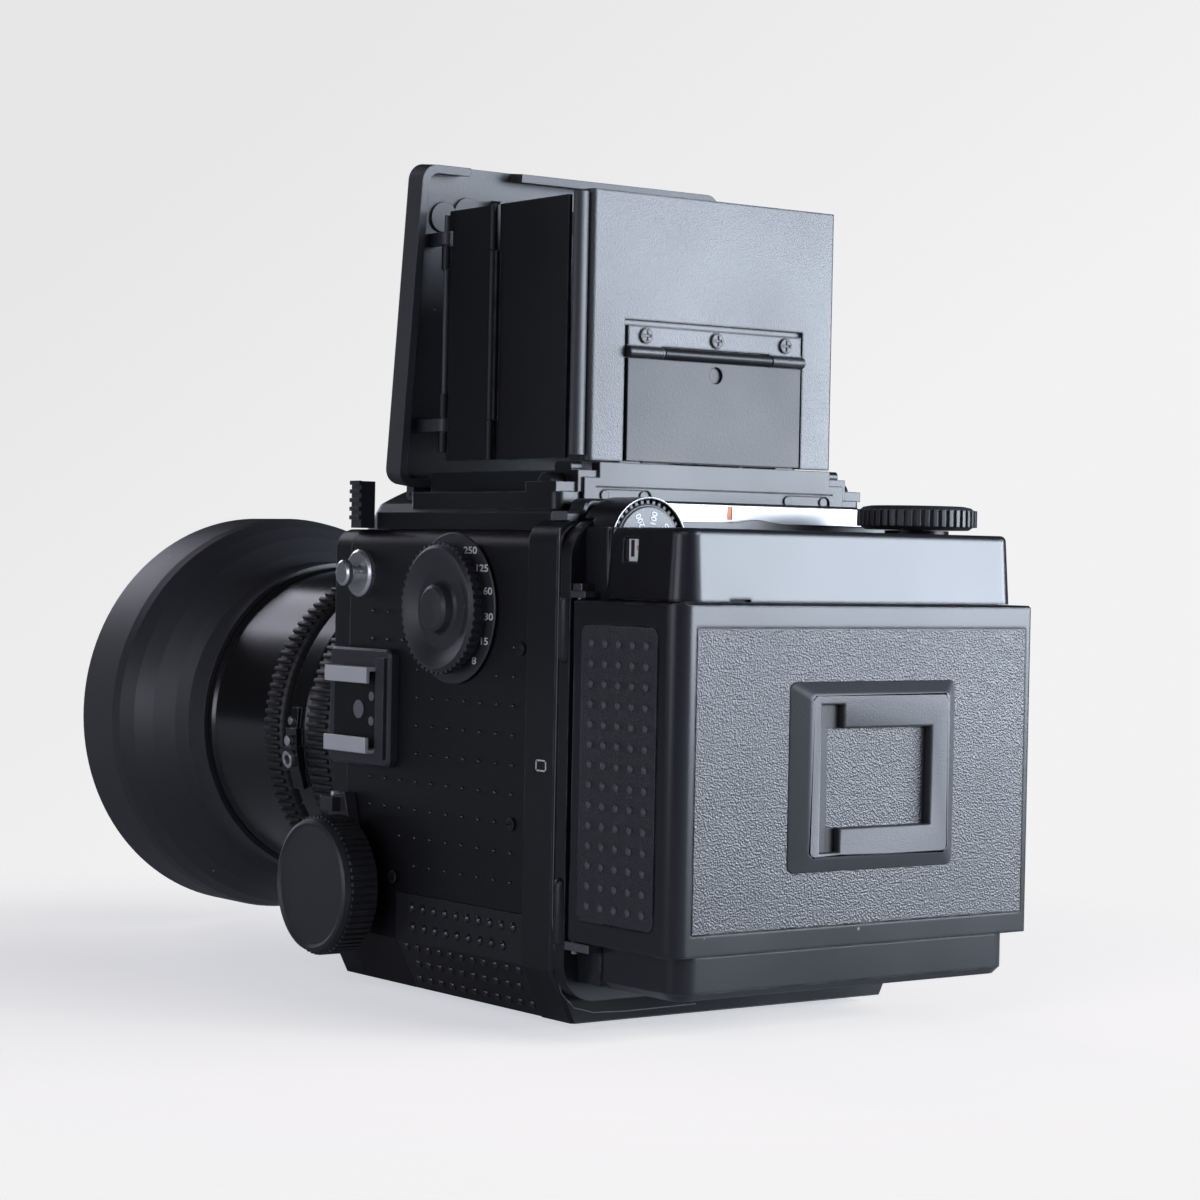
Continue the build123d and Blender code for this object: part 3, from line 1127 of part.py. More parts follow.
with BuildPart() as film_speed_dial:
    turned([(speed_ys[0], 0), (speed_ys[0], speed_radius - 0.6), (speed_ys[1] - 0.8, speed_radius - 0.6),
            (speed_ys[1] - 0.3, speed_radius - 1.0), (speed_ys[1] - 0.3, speed_plate),
            (speed_ys[1], speed_plate - 0.2), (speed_ys[1], 0)],
           (speed_x, speed_z))
    with Locations(Location((speed_x, speed_ys[0] + 1.4, speed_z), (90, 0, 0))):
        with PolarLocations(speed_radius - 0.6, 36):
            Box(1.2, 0.8, 2.0)
    rod_y(speed_x, (57.6, speed_ys[0]), speed_z, 1.5)
keep(film_speed_dial, "film_speed_dial")

# Hinged cover of the magazine
cover_back = 95.0
cover_thick = 2.0
cover_left = 51.5
cover_right = -51.1
cover_round = 1.6
cover_edge_y = 58.7
insert_ys = (61.8, 88.6)
insert_zs = (26.4, 90.3)
panel_xs = (-48.6, 46.4)
panel_zs = (26.3, 90.5)
panel_depth = 0.5
latch_y = 77.0
latch_zs = (48.0, 66.0)

with BuildPart() as magazine_cover:
    block((cover_right, cover_left), (cover_edge_y, cover_back), cover_zs)
    fillet(magazine_cover.edges().filter_by(Axis.Z).group_by(Axis.Y)[-1], cover_round)
    chamfer(magazine_cover.faces().sort_by(Axis.Z)[-1].edges().filter_by(
        lambda e: e.center().Y > cover_edge_y + 1), 0.5)
    block((cover_right + cover_thick, cover_left - cover_thick), (cover_edge_y - 1, cover_back - cover_thick),
          (cover_zs[0] - 1, cover_zs[1] + 1), Mode.SUBTRACT)
    block((cover_right - 1, cover_right + cover_thick + 1), (cover_edge_y - 1, 60.6), (0, 130), Mode.SUBTRACT)
    block(panel_xs, (cover_back - panel_depth, cover_back + 1), panel_zs, Mode.SUBTRACT)
    slab_x((cover_left - panel_depth, cover_left + 1), (sum(insert_ys) / 2, sum(insert_zs) / 2),
           (insert_ys[1] - insert_ys[0]) / 2, (insert_zs[1] - insert_zs[0]) / 2, 2.0, Mode.SUBTRACT)
    slab_x((cover_right - 1, cover_right + cover_thick + 1), (latch_y, sum(latch_zs) / 2 + 2.0), 1.7, 3.7, 1.6,
           Mode.SUBTRACT)
    for low, high in ((83.2, 95.0), (22.2, 34.0)):
        rod_z(hinge_x, hinge_y, (low, high), hinge_knuckle)
        block((hinge_x - 0.4, cover_left), (hinge_y, cover_edge_y + 1), (low, high))
        rod_z(hinge_x, hinge_y, (low - 1, high + 1), hinge_pin_radius + shaft_gap, Mode.SUBTRACT)
keep(magazine_cover, "magazine_cover")

with BuildPart() as cover_panels:
    slab_x((cover_left - panel_depth, cover_left + 0.25), (sum(insert_ys) / 2, sum(insert_zs) / 2),
           (insert_ys[1] - insert_ys[0]) / 2 - 0.1, (insert_zs[1] - insert_zs[0]) / 2 - 0.1, 1.9)
    block((panel_xs[0] + 0.1, panel_xs[1] - 0.1), (cover_back - panel_depth, cover_back + 0.1),
          (panel_zs[0] + 0.1, panel_zs[1] - 0.1))
keep(cover_panels, "cover_panels")

# Memo holder on the back
memo_outer_x = (-27.2, 21.0)
memo_outer_z = (38.0, 79.0)
memo_window_x = (-20.0, 7.0)
memo_window_z = (46.7, 68.7)
memo_ys = (cover_back + 0.1, cover_back + 2.3)

with BuildPart() as memo_frame:
    block(memo_outer_x, memo_ys, memo_outer_z)
    chamfer(memo_frame.faces().sort_by(Axis.Y)[-1].edges(), 1.8)
    block(memo_window_x, (memo_ys[0] + 0.4, memo_ys[1] + 1), memo_window_z, Mode.SUBTRACT)
    block((9.2, 11.6), (memo_ys[0] + 0.6, memo_ys[1] + 1), (42.0, 74.0), Mode.SUBTRACT)
    block((5.0, 10.5), (memo_ys[0] + 0.6, memo_ys[1] + 1), (68.9, 70.9), Mode.SUBTRACT)
    block((5.0, 10.5), (memo_ys[0] + 0.6, memo_ys[1] + 1), (44.5, 46.5), Mode.SUBTRACT)
keep(memo_frame, "memo_frame")

# Latch of the magazine cover, on its right wall
with BuildPart() as cover_latch:
    block((cover_right - 2.6, cover_right - side_gap), (72.0, 82.0), latch_zs)
    for step in range(5):
        z = latch_zs[0] + 5.0 + step * 1.8
        block((cover_right - 3.2, cover_right - 2.5), (73.0, 81.0), (z, z + 0.9))
    rod_x((cover_right - 1, cover_right + cover_thick + 0.8), 77.0, sum(latch_zs) / 2, 1.4)
keep(cover_latch, "cover_latch")
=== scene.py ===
# %% [markdown]
# # A medium format film camera, dressed
# The metal, the plastic and the glass come packed from the CAD model, each piece already in its place.
# This notebook gives every piece its finish and adds the small things that the solids leave out: the raised
# points on the grip skin, the figures on the dials, the index marks, and a few forms that mesh operators
# round or repeat more easily than solids do.

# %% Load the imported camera
import bpy
import bmesh
import json
from math import atan2, cos, pi, radians, sin
from mathutils import Matrix, Vector


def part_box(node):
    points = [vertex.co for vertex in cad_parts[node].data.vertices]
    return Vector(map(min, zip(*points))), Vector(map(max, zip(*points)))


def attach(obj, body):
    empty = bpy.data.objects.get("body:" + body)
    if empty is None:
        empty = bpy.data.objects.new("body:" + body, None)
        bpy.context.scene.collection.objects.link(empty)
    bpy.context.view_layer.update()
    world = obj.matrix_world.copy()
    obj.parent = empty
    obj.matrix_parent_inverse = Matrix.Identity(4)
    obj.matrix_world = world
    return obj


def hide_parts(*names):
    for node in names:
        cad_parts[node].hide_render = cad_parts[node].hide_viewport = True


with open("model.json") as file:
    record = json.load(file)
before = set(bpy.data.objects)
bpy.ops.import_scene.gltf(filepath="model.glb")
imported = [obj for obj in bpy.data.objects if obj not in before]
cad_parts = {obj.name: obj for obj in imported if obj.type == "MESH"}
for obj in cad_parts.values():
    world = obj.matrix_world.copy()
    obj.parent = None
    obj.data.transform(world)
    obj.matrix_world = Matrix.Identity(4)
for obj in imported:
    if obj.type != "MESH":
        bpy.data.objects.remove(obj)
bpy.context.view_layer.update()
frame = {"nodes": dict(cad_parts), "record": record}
MM = 0.001                           # the sizes below are in millimetres, and Blender counts in metres

# %% [markdown]
# ## The camera that looks at the camera
# The photograph was taken with a long lens from behind the left shoulder of the photographed camera, almost
# level with it. The focal length and the three turns below were solved from the straight edges of the body.
# The matrix is built from the three axes of the view, so the small roll needs no extra rotation object.

# %% Place the view
VIEW_POINT = Vector((430.64, 578.32, 104.95)) * MM
VIEW_YAW, VIEW_PITCH, VIEW_ROLL = radians(36.598), radians(0.8422), radians(1.1183)
FOCAL_PIXELS, FRAME_PIXELS, SENSOR = 2971.7, 1200, 36.0


def aim(yaw, pitch, roll):
    """The view's axes in the world, as the columns of a rotation matrix."""
    forward = Vector((-sin(yaw) * cos(pitch), -cos(yaw) * cos(pitch), -sin(pitch)))
    right = forward.cross(Vector((0, 0, 1))).normalized()
    down = forward.cross(right)
    rolled_right = cos(roll) * right - sin(roll) * down
    rolled_down = sin(roll) * right + cos(roll) * down
    return Matrix((rolled_right, -rolled_down, -forward)).transposed().to_4x4()


lens = bpy.data.cameras.new("view")
lens.sensor_width = SENSOR
lens.lens = SENSOR * FOCAL_PIXELS / FRAME_PIXELS
lens.clip_start, lens.clip_end = 0.01, 50
view = bpy.data.objects.new("view", lens)
view.matrix_world = Matrix.Translation(VIEW_POINT) @ aim(VIEW_YAW, VIEW_PITCH, VIEW_ROLL)
bpy.context.collection.objects.link(view)
bpy.context.scene.camera = view
bpy.context.scene.view_settings.view_transform = "Standard"
print("focal length", round(lens.lens, 2), "mm")

# %% [markdown]
# ## The studio
# The black enamel shows almost nothing but what it reflects, so the light boxes do most of the drawing.
# The strong ones stand low behind the camera, where its back mirrors them towards the view. The left side
# mirrors a dark part of the room, so it only gets weak boxes, and a narrow strip draws the thin line along
# its edges. Point lamps would be simpler to place, but satin enamel would show each one as a small spot.
# The powers were found by lighting the scene with one box at a time and comparing the tones with the photo.

# %% Light boxes
AWAY, AIM_POINT = 2.0, Vector((0, 0, 0.1))
COLD, DIM = (0.79, 0.875, 1.0), (0.85, 0.86, 1.0)
BOXES = [  # name, compass angle, lowest and highest edge, width, power, tint
    ("back_high", 112, (0.54, 0.90), 0.90, 26, COLD),
    ("back_low", 131, (0.02, 0.50), 0.86, 35, COLD),
    ("corner_low", 152, (0.02, 0.50), 0.50, 19, COLD),
    ("left_high", 30, (0.60, 1.20), 0.90, 6.6, DIM),
    ("left_low", 0, (0.02, 0.50), 0.90, 6.6, DIM),
    ("edge_strip", 330, (0.02, 0.60), 0.14, 1.3, DIM),
    ("front_high", 270, (0.60, 1.20), 0.90, 5.3, DIM),
    ("front_low", 270, (0.02, 0.50), 0.90, 2.7, DIM),
]


def light_box(name, place, size, power, tint):
    """A rectangular area light at place that faces the object."""
    lamp = bpy.data.lights.new(name, "AREA")
    lamp.shape = "RECTANGLE"
    lamp.size, lamp.size_y = size
    lamp.energy = power
    lamp.color = tint
    holder = bpy.data.objects.new(name, lamp)
    turn = (place - AIM_POINT).to_track_quat("Z", "Y").to_matrix().to_4x4()
    holder.matrix_world = Matrix.Translation(place) @ turn
    bpy.context.collection.objects.link(holder)


for name, compass, (low, high), width, power, tint in BOXES:
    place = Vector((AWAY * cos(radians(compass)), AWAY * sin(radians(compass)), (low + high) / 2))
    light_box(name, place, (width, high - low), power, tint)
print("light boxes:", len(BOXES))

# %% [markdown]
# ## The backdrop
# Behind the object the photograph shows a pale wall, a little darker towards its upper left corner, and that
# darker corner is painted shade.
# A real wall in the scene would also light the black sides. So the wall is a colour of the world that only
# the view's own rays meet, and every other ray meets a faint glow.

# %% Backdrop
# The corner tone is painted shade: it darkens the backdrop towards its upper left corner.
BACKDROP, CORNER_SHADE_TONE = (0.888, 0.888, 0.896), (0.80, 0.80, 0.80)
CORNER, CORNER_REACH = Vector((0.45, -0.40, 0.80)), (0.02, 0.24)


def set_inputs(node, values):
    """Gives a node's input sockets values of their own."""
    for socket, value in values.items():
        node.inputs[socket].default_value = value


def node_kit(tree):
    """Two short helpers for a tree: one adds a node with settings and input values, one joins two sockets."""
    def add(kind, values=None, **settings):
        node = tree.nodes.new(kind)
        for key, value in settings.items():
            setattr(node, key, value)
        set_inputs(node, values or {})
        return node
    return add, tree.links.new


world = bpy.data.worlds.new("studio")
bpy.context.scene.world = world
world.use_nodes = True
add, link = node_kit(world.node_tree)
wall, output = world.node_tree.nodes["Background"], world.node_tree.nodes["World Output"]
glow = add("ShaderNodeBackground", {"Color": (0.90, 0.94, 1.0, 1), "Strength": 0.015})
seen, either, heading = add("ShaderNodeLightPath"), add("ShaderNodeMixShader"), add("ShaderNodeTexCoord")
along = add("ShaderNodeVectorMath", {1: CORNER}, operation="DOT_PRODUCT")
ramp = add("ShaderNodeMapRange", {"From Min": CORNER_REACH[0], "From Max": CORNER_REACH[1]})
tone = add("ShaderNodeMix", {"A": (*BACKDROP, 1), "B": (*CORNER_SHADE_TONE, 1)}, data_type="RGBA")
link(heading.outputs["Generated"], along.inputs[0])
link(along.outputs["Value"], ramp.inputs["Value"])
link(ramp.outputs["Result"], tone.inputs["Factor"])
link(tone.outputs["Result"], wall.inputs["Color"])
link(seen.outputs["Is Camera Ray"], either.inputs[0])
link(glow.outputs[0], either.inputs[1])
link(wall.outputs[0], either.inputs[2])
link(either.outputs[0], output.inputs["Surface"])
print("world ready")

# %% [markdown]
# ## The floor
# The floor is plain paper that the photograph shows almost white. Most of that white is its own glow, which
# only the view sees, so shadows stay as pale as in the photograph and the glow puts no light on the black
# sides. Farther out the paper fades away, so that no horizon shows against the backdrop.

# %% Floor
PAPER, LIT_PAPER = (0.8, 0.81, 0.83), (0.85, 0.705, 0.566)     # as the object meets it, and as the view does
GLOW = (0.54, 0.56, 0.60)
FADE_FROM, FADE_TO = 0.12, 0.31


def new_material(name):
    """A material with an empty Principled surface, its tree's helpers and the shader."""
    material = bpy.data.materials.new(name)
    material.use_nodes = True
    add, link = node_kit(material.node_tree)
    return material, add, link, material.node_tree.nodes["Principled BSDF"]


paper, add, link, shader = new_material("studio_paper")
set_inputs(shader, {"Roughness": 0.9, "Emission Color": (*GLOW, 1), "Specular IOR Level": 0.1})
spot, far = add("ShaderNodeTexCoord"), add("ShaderNodeVectorMath", operation="LENGTH")
fade = add("ShaderNodeMapRange", {"From Min": FADE_FROM, "From Max": FADE_TO},
           interpolation_type="SMOOTHSTEP")
seen = add("ShaderNodeLightPath")
gone = add("ShaderNodeMath", operation="MULTIPLY")
left = add("ShaderNodeMath", {0: 1.0}, operation="SUBTRACT")
shade = add("ShaderNodeMix", {"A": (*PAPER, 1), "B": (*LIT_PAPER, 1)}, data_type="RGBA")
link(spot.outputs["Object"], far.inputs[0])
link(far.outputs["Value"], fade.inputs["Value"])
link(fade.outputs["Result"], gone.inputs[0])
link(seen.outputs["Is Camera Ray"], gone.inputs[1])
link(gone.outputs["Value"], left.inputs[1])
link(left.outputs["Value"], shader.inputs["Alpha"])
link(seen.outputs["Is Camera Ray"], shade.inputs["Factor"])
link(shade.outputs["Result"], shader.inputs["Base Color"])
link(seen.outputs["Is Camera Ray"], shader.inputs["Emission Strength"])

sheet = bmesh.new()
bmesh.ops.create_circle(sheet, cap_ends=True, segments=96, radius=3.0)
floor_mesh = bpy.data.meshes.new("floor")
sheet.to_mesh(floor_mesh)
sheet.free()
floor = bpy.data.objects.new("floor", floor_mesh)
floor.data.materials.append(paper)
bpy.context.collection.objects.link(floor)
print("floor laid")

# %% [markdown]
# ## Effects that several finishes share
# Sprayed enamel, moulded plastic and leatherette all have a fine pebbled skin, and their gloss and tone
# change slowly from place to place. The same nodes in every material would have to be kept alike by hand.
# So each effect is a shader node group, built once, and a material only gives it its own values.
# *Grain* puts out the height of the skin and a slow cloud for the gloss and the tone.

# %% Grain
def new_group(name, inputs, outputs):
    """An empty node group; inputs gives each number socket's first value, outputs names the results."""
    group = bpy.data.node_groups.new(name, "ShaderNodeTree")
    for label, value in inputs.items():
        socket = group.interface.new_socket(label, in_out="INPUT", socket_type="NodeSocketFloat")
        socket.default_value = value
    for label in outputs:
        group.interface.new_socket(label, in_out="OUTPUT", socket_type="NodeSocketFloat")
    add, link = node_kit(group)
    return group, add, link, add("NodeGroupInput"), add("NodeGroupOutput")


grain, add, link, given, result = new_group(
    "grain", {"Cells per metre": 900.0, "Pebble": 0.6}, ["Height", "Cloud"])
where = add("ShaderNodeTexCoord")
pebble = add("ShaderNodeTexVoronoi", {"Smoothness": 0.6}, feature="SMOOTH_F1")
sand = add("ShaderNodeTexNoise", {"Detail": 3.0})
cloud = add("ShaderNodeTexNoise", {"Scale": 22.0, "Detail": 4.0})
mixer = add("ShaderNodeMix", data_type="FLOAT")
for texture in (pebble, sand, cloud):
    link(where.outputs["Object"], texture.inputs["Vector"])
for texture in (pebble, sand):
    link(given.outputs["Cells per metre"], texture.inputs["Scale"])
link(given.outputs["Pebble"], mixer.inputs["Factor"])
link(sand.outputs["Fac"], mixer.inputs["A"])
link(pebble.outputs["Distance"], mixer.inputs["B"])
link(mixer.outputs["Result"], result.inputs["Height"])
link(cloud.outputs["Fac"], result.inputs["Cloud"])
print("group made:", grain.name)

# %% [markdown]
# *Edge wear and highlight* is the pale line along a black edge. It is partly wear that handling rubs in and
# partly a painted highlight where light would catch a rounded edge. Painting it by hand would be lost with
# each change of
# shape. The group finds the edges itself: where the true normal and a rounded one differ, the surface turns
# sharply. A noise breaks the line up, because no real edge is worn evenly.

# %% Edge wear and painted highlight
edge_wear_and_highlight, add, link, given, result = new_group("edge_wear_and_highlight", {"Radius": 0.0005, "Breakup": 160.0}, ["Mask"])
smoothed, true = add("ShaderNodeBevel", samples=4), add("ShaderNodeNewGeometry")
facing = add("ShaderNodeVectorMath", operation="DOT_PRODUCT")
sharp = add("ShaderNodeMapRange", {"From Min": 0.995, "From Max": 0.86})
where, noise = add("ShaderNodeTexCoord"), add("ShaderNodeTexNoise", {"Detail": 5.0})
patchy = add("ShaderNodeMapRange", {"From Min": 0.40, "From Max": 0.62})
cut = add("ShaderNodeMath", operation="MULTIPLY")
link(given.outputs["Radius"], smoothed.inputs["Radius"])
link(smoothed.outputs["Normal"], facing.inputs[0])
link(true.outputs["True Normal"], facing.inputs[1])
link(facing.outputs["Value"], sharp.inputs["Value"])
link(where.outputs["Object"], noise.inputs["Vector"])
link(given.outputs["Breakup"], noise.inputs["Scale"])
link(noise.outputs["Fac"], patchy.inputs["Value"])
link(sharp.outputs["Result"], cut.inputs[0])
link(patchy.outputs["Result"], cut.inputs[1])
link(cut.outputs["Value"], result.inputs["Mask"])
print("group made:", edge_wear_and_highlight.name)

# %% [markdown]
# *Specks* are the dust and the tiny chips that a used camera has everywhere. A Voronoi texture has one point
# in each cell. The mask is a small disc round that point, but only in the few cells whose random colour
# falls under the given share.

# %% Specks
SPECK_RADIUS = 0.16                  # as a share of a cell
specks, add, link, given, result = new_group("specks", {"Spots per metre": 420.0, "Share": 0.03}, ["Mask"])
where, dots, split = add("ShaderNodeTexCoord"), add("ShaderNodeTexVoronoi"), add("ShaderNodeSeparateColor")
near = add("ShaderNodeMath", {1: SPECK_RADIUS}, operation="LESS_THAN")
chance, both = add("ShaderNodeMath", operation="LESS_THAN"), add("ShaderNodeMath", operation="MULTIPLY")
link(where.outputs["Object"], dots.inputs["Vector"])
link(given.outputs["Spots per metre"], dots.inputs["Scale"])
link(dots.outputs["Distance"], near.inputs[0])
link(dots.outputs["Color"], split.inputs[0])
link(split.outputs[0], chance.inputs[0])
link(given.outputs["Share"], chance.inputs[1])
link(near.outputs[0], both.inputs[0])
link(chance.outputs[0], both.inputs[1])
link(both.outputs[0], result.inputs["Mask"])
print("group made:", specks.name)

# %% [markdown]
# ## The finishes
# Every black on this camera is a different black: satin enamel on the metal, glossy plastic on the magazine,
# flat paint inside the finder, rubber, leatherette. One recipe mixes the three effects. Its numbers say how
# fine the grain is, how deep it stands, how glossy it is, and how much of the edge turns to a pale line of
# wear and painted highlight.

# %% Recipe for a finish
SOFT_EDGE = 0.35 * MM                # no edge is perfectly sharp, so each one catches a thin line of light
# The pale edge colour is partly wear and partly a painted highlight along the edges.
WORN_AND_HIGHLIGHT_EDGE, DUST, DUST_COVER = (0.2, 0.2, 0.21), (0.30, 0.31, 0.33), 0.5
TONE_SPAN = 0.14                     # how far the tone drifts to either side of the finish's colour


def finish(name, color, rough, cells=900.0, depth=0.00002, pebble=0.5, wear_and_highlight=0.0, radius=0.0005, dust=0.0,
           sheen=0.5, metal=0.0, vary=0.25, soften=SOFT_EDGE):
    """A Principled material with grain, pale edges of wear and painted highlight, and specks at the given
    strengths.
    """
    material, add, link, shader = new_material(name)
    set_inputs(shader, {"Specular IOR Level": sheen, "Metallic": metal})
    skin = add("ShaderNodeGroup", {"Cells per metre": cells, "Pebble": pebble}, node_tree=grain)
    soft = add("ShaderNodeBevel", {"Radius": soften}, samples=4)
    relief = add("ShaderNodeBump", {"Distance": depth})
    link(soft.outputs["Normal"], relief.inputs["Normal"])
    link(skin.outputs["Height"], relief.inputs["Height"])
    link(relief.outputs["Normal"], shader.inputs["Normal"])
    gloss = add("ShaderNodeMapRange", {"To Min": max(rough - vary * rough, 0.02),
                                       "To Max": min(rough + vary * rough, 1.0)})
    link(skin.outputs["Cloud"], gloss.inputs["Value"])
    link(gloss.outputs["Result"], shader.inputs["Roughness"])
    darker = [c * (1 - TONE_SPAN) for c in color]
    lighter = [min(c * (1 + TONE_SPAN), 1) for c in color]
    tone = add("ShaderNodeMix", {"A": (*darker, 1), "B": (*lighter, 1)}, data_type="RGBA")
    link(skin.outputs["Cloud"], tone.inputs["Factor"])
    last = tone.outputs["Result"]
    layers = [(edge_wear_and_highlight, {"Radius": radius}, wear_and_highlight, WORN_AND_HIGHLIGHT_EDGE),
              (specks, {"Share": dust}, DUST_COVER if dust else 0, DUST)]
    for group, values, amount, paint in layers:
        if amount > 0:
            mask = add("ShaderNodeGroup", values, node_tree=group)
            strength = add("ShaderNodeMath", {1: amount}, operation="MULTIPLY")
            over = add("ShaderNodeMix", {"B": (*paint, 1)}, data_type="RGBA")
            link(mask.outputs["Mask"], strength.inputs[0])
            link(strength.outputs[0], over.inputs["Factor"])
            link(last, over.inputs["A"])
            last = over.outputs["Result"]
    link(last, shader.inputs["Base Color"])
    return material


# %% [markdown]
# The blacks differ by a few thousandths in colour, and more in how strongly and how sharply they mirror the
# light boxes, which is what sheen and rough say. The numbers were set part by part, by comparing the render
# with the photograph.

# %% Black enamels, plastics and rubber
BLACKS = {
    # body_black's pale edges are mostly painted highlight: the line of light along its rounded edges.
    "body_black": dict(color=(0.008, 0.008, 0.010), rough=0.34, cells=2600, depth=0.000010, wear_and_highlight=0.35,
                       dust=0.008, sheen=0.40),
    # The dullest black. On the rear frame's sheet it is painted shade.
    "inner_black": dict(color=(0.005, 0.005, 0.006), rough=0.7, cells=2500, depth=0.00001, sheen=0.3),
    "control_black": dict(color=(0.031, 0.031, 0.035), rough=0.42, cells=3200, depth=0.00001, wear_and_highlight=0.35,
                          dust=0.01),
    "bellows_cloth": dict(color=(0.010, 0.010, 0.011), rough=0.9, cells=1800, depth=0.00004),
    "barrel_black": dict(color=(0.010, 0.010, 0.011), rough=0.20, cells=2600, depth=0.000003, wear_and_highlight=0.3,
                         dust=0.008),
    "ring_rubber": dict(color=(0.015, 0.015, 0.016), rough=0.5, cells=2600, depth=0.00001, dust=0.03),
    "hood_black": dict(color=(0.034, 0.034, 0.039), rough=0.46, cells=5200, depth=0.000008, wear_and_highlight=0.3,
                       dust=0.003),
    "finder_black": dict(color=(0.010, 0.010, 0.012), rough=0.38, cells=2400, depth=0.00003, wear_and_highlight=0.3,
                         dust=0.004, sheen=0.34),
    "leaf_black": dict(color=(0.006, 0.006, 0.007), rough=0.46, cells=2400, depth=0.00001, wear_and_highlight=0.3,
                       sheen=0.35),
    "finder_grain": dict(color=(0.020, 0.021, 0.024), rough=0.38, cells=2600, depth=0.00006, pebble=0.6,
                         wear_and_highlight=0.5, dust=0.008, sheen=0.63, soften=0.7 * MM),
    "leatherette": dict(color=(0.006, 0.006, 0.0075), rough=0.40, cells=2100, depth=0.00002, pebble=0.7,
                        dust=0.006, sheen=0.34),
    "battery_skin": dict(color=(0.013, 0.013, 0.015), rough=0.42, cells=2100, depth=0.00002, pebble=0.7,
                         dust=0.006, sheen=0.45),
    "magazine_black": dict(color=(0.015, 0.015, 0.0175), rough=0.24, cells=2600, depth=0.000004, wear_and_highlight=0.7,
                           radius=0.0004, dust=0.010, sheen=0.34, soften=0.9 * MM),
    "panel_grain": dict(color=(0.020, 0.021, 0.024), rough=0.34, cells=2500, depth=0.00018, pebble=0.6,
                        dust=0.006, wear_and_highlight=0.25),
    "insert_rubber": dict(color=(0.080, 0.080, 0.088), rough=0.5, cells=2600, depth=0.00002, wear_and_highlight=0.3),
    "point_gloss": dict(color=(0.020, 0.020, 0.023), rough=0.22, cells=2600, depth=0.000002, sheen=0.8),
    # The lid's black is the finder's black made lighter: painted light on the lid's side, which the dim side
    # boxes leave dark.
    "lid_lightened_black": dict(color=(0.050, 0.051, 0.056), rough=0.42, cells=2400, depth=0.00003, wear_and_highlight=0.3,
                      dust=0.004, sheen=0.42),
    "post_black": dict(color=(0.022, 0.022, 0.025), rough=0.42, cells=2400, depth=0.00003, wear_and_highlight=0.4),
    # The memo holder's black is lighter than the panel grain: painted light, so its sloping sides look lit
    # though they mirror dark room.
    "memo_lightened_black": dict(color=(0.034, 0.035, 0.039), rough=0.40, cells=3000, depth=0.000035, wear_and_highlight=0.3),
    # A pale grey: the painted highlight line on the rear frame, and the real grey of the shoe's contacts.
    "highlight_and_contact_grey": dict(color=(0.16, 0.165, 0.18), rough=0.4),
    "spool_black": dict(color=(0.02, 0.02, 0.021), rough=0.4),
    "film_paper": dict(color=(0.10, 0.11, 0.10), rough=0.8, cells=1500),
}
print("blacks:", len(BLACKS))

# %% [markdown]
# The bright finishes are few: turned and plated metal, brass, the mirror, and the paints of the marks.
# Bare metal mirrors in its own colour and has no paint under that, so its metal value is 1 or close to it.
# The accessory shoe's rails are a dull white in the photograph, which is closer to paint than to metal.

# %% Metals, marks and glass
METALS = {
    "satin_silver": dict(color=(0.31, 0.31, 0.32), rough=0.34, cells=3500, depth=0.000004, metal=1.0,
                         dust=0.004),
    "polished_chrome": dict(color=(0.62, 0.62, 0.64), rough=0.26, cells=1500, depth=0.000002, metal=0.85),
    "dark_steel": dict(color=(0.20, 0.20, 0.21), rough=0.30, cells=2500, depth=0.000004, metal=1.0),
    "socket_brass": dict(color=(0.62, 0.46, 0.20), rough=0.3, cells=2500, depth=0.000004, metal=1.0),
    "rail_silver": dict(color=(0.70, 0.70, 0.72), rough=0.42, cells=3000, depth=0.000006, metal=0.35,
                        dust=0.01),
    "mirror_glass": dict(color=(0.80, 0.82, 0.83), rough=0.04, cells=100, depth=0.0, metal=1.0, vary=0.0),
}
MARKS = {
    "white_mark": dict(color=(0.78, 0.78, 0.77), rough=0.5, cells=3000, depth=0.000004),
    "orange_mark": dict(color=(0.75, 0.17, 0.02), rough=0.45, cells=3000, depth=0.000004),
    "dark_mark": dict(color=(0.006, 0.006, 0.007), rough=0.5, cells=3000, depth=0.000004),
    "reminder_grey": dict(color=(0.095, 0.10, 0.108), rough=0.4, cells=3000, depth=0.000004),
}
paints = {name: finish(name, **values) for name, values in {**BLACKS, **METALS, **MARKS}.items()}


def clear_glass(name, color, rough, mix):
    """Glass that lets most light through."""
    material, _, _, shader = new_material(name)
    set_inputs(shader, {"Base Color": (*color, 1), "Roughness": rough, "IOR": 1.5,
                        "Transmission Weight": mix})
    return material


paints["lens_glass"] = clear_glass("lens_glass", (0.72, 0.78, 0.90), 0.02, 0.9)
paints["screen_glass"] = clear_glass("screen_glass", (0.80, 0.82, 0.83), 0.45, 0.5)
print("finishes:", len(paints))

# %% [markdown]
# ## Dress the imported pieces
# The record names a material slot for each imported piece, and most slots have a finish of the same name here.
# A few pieces look different from the rest of their slot in the photograph and get a finish of their own.
# The lid's is a lighter copy of the finder's black, which is painted light on its dimly lit side.

# %% Dress the imported pieces
slot_of = {part["node"]: part["material_slot"] for part in frame["record"]["subparts"]}
slot_of.update(battery_cover="battery_skin", hot_shoe_rails="rail_silver", hot_shoe_contacts="highlight_and_contact_grey",
               body_screws="body_black", bottom_plate="inner_black", finder_lid="lid_lightened_black")
for node, thing in frame["nodes"].items():
    if thing.data.materials:
        for index in range(len(thing.data.materials)):
            thing.data.materials[index] = paints[slot_of[node]]
    else:
        thing.data.materials.append(paints[slot_of[node]])
print("pieces dressed:", len(frame["nodes"]))

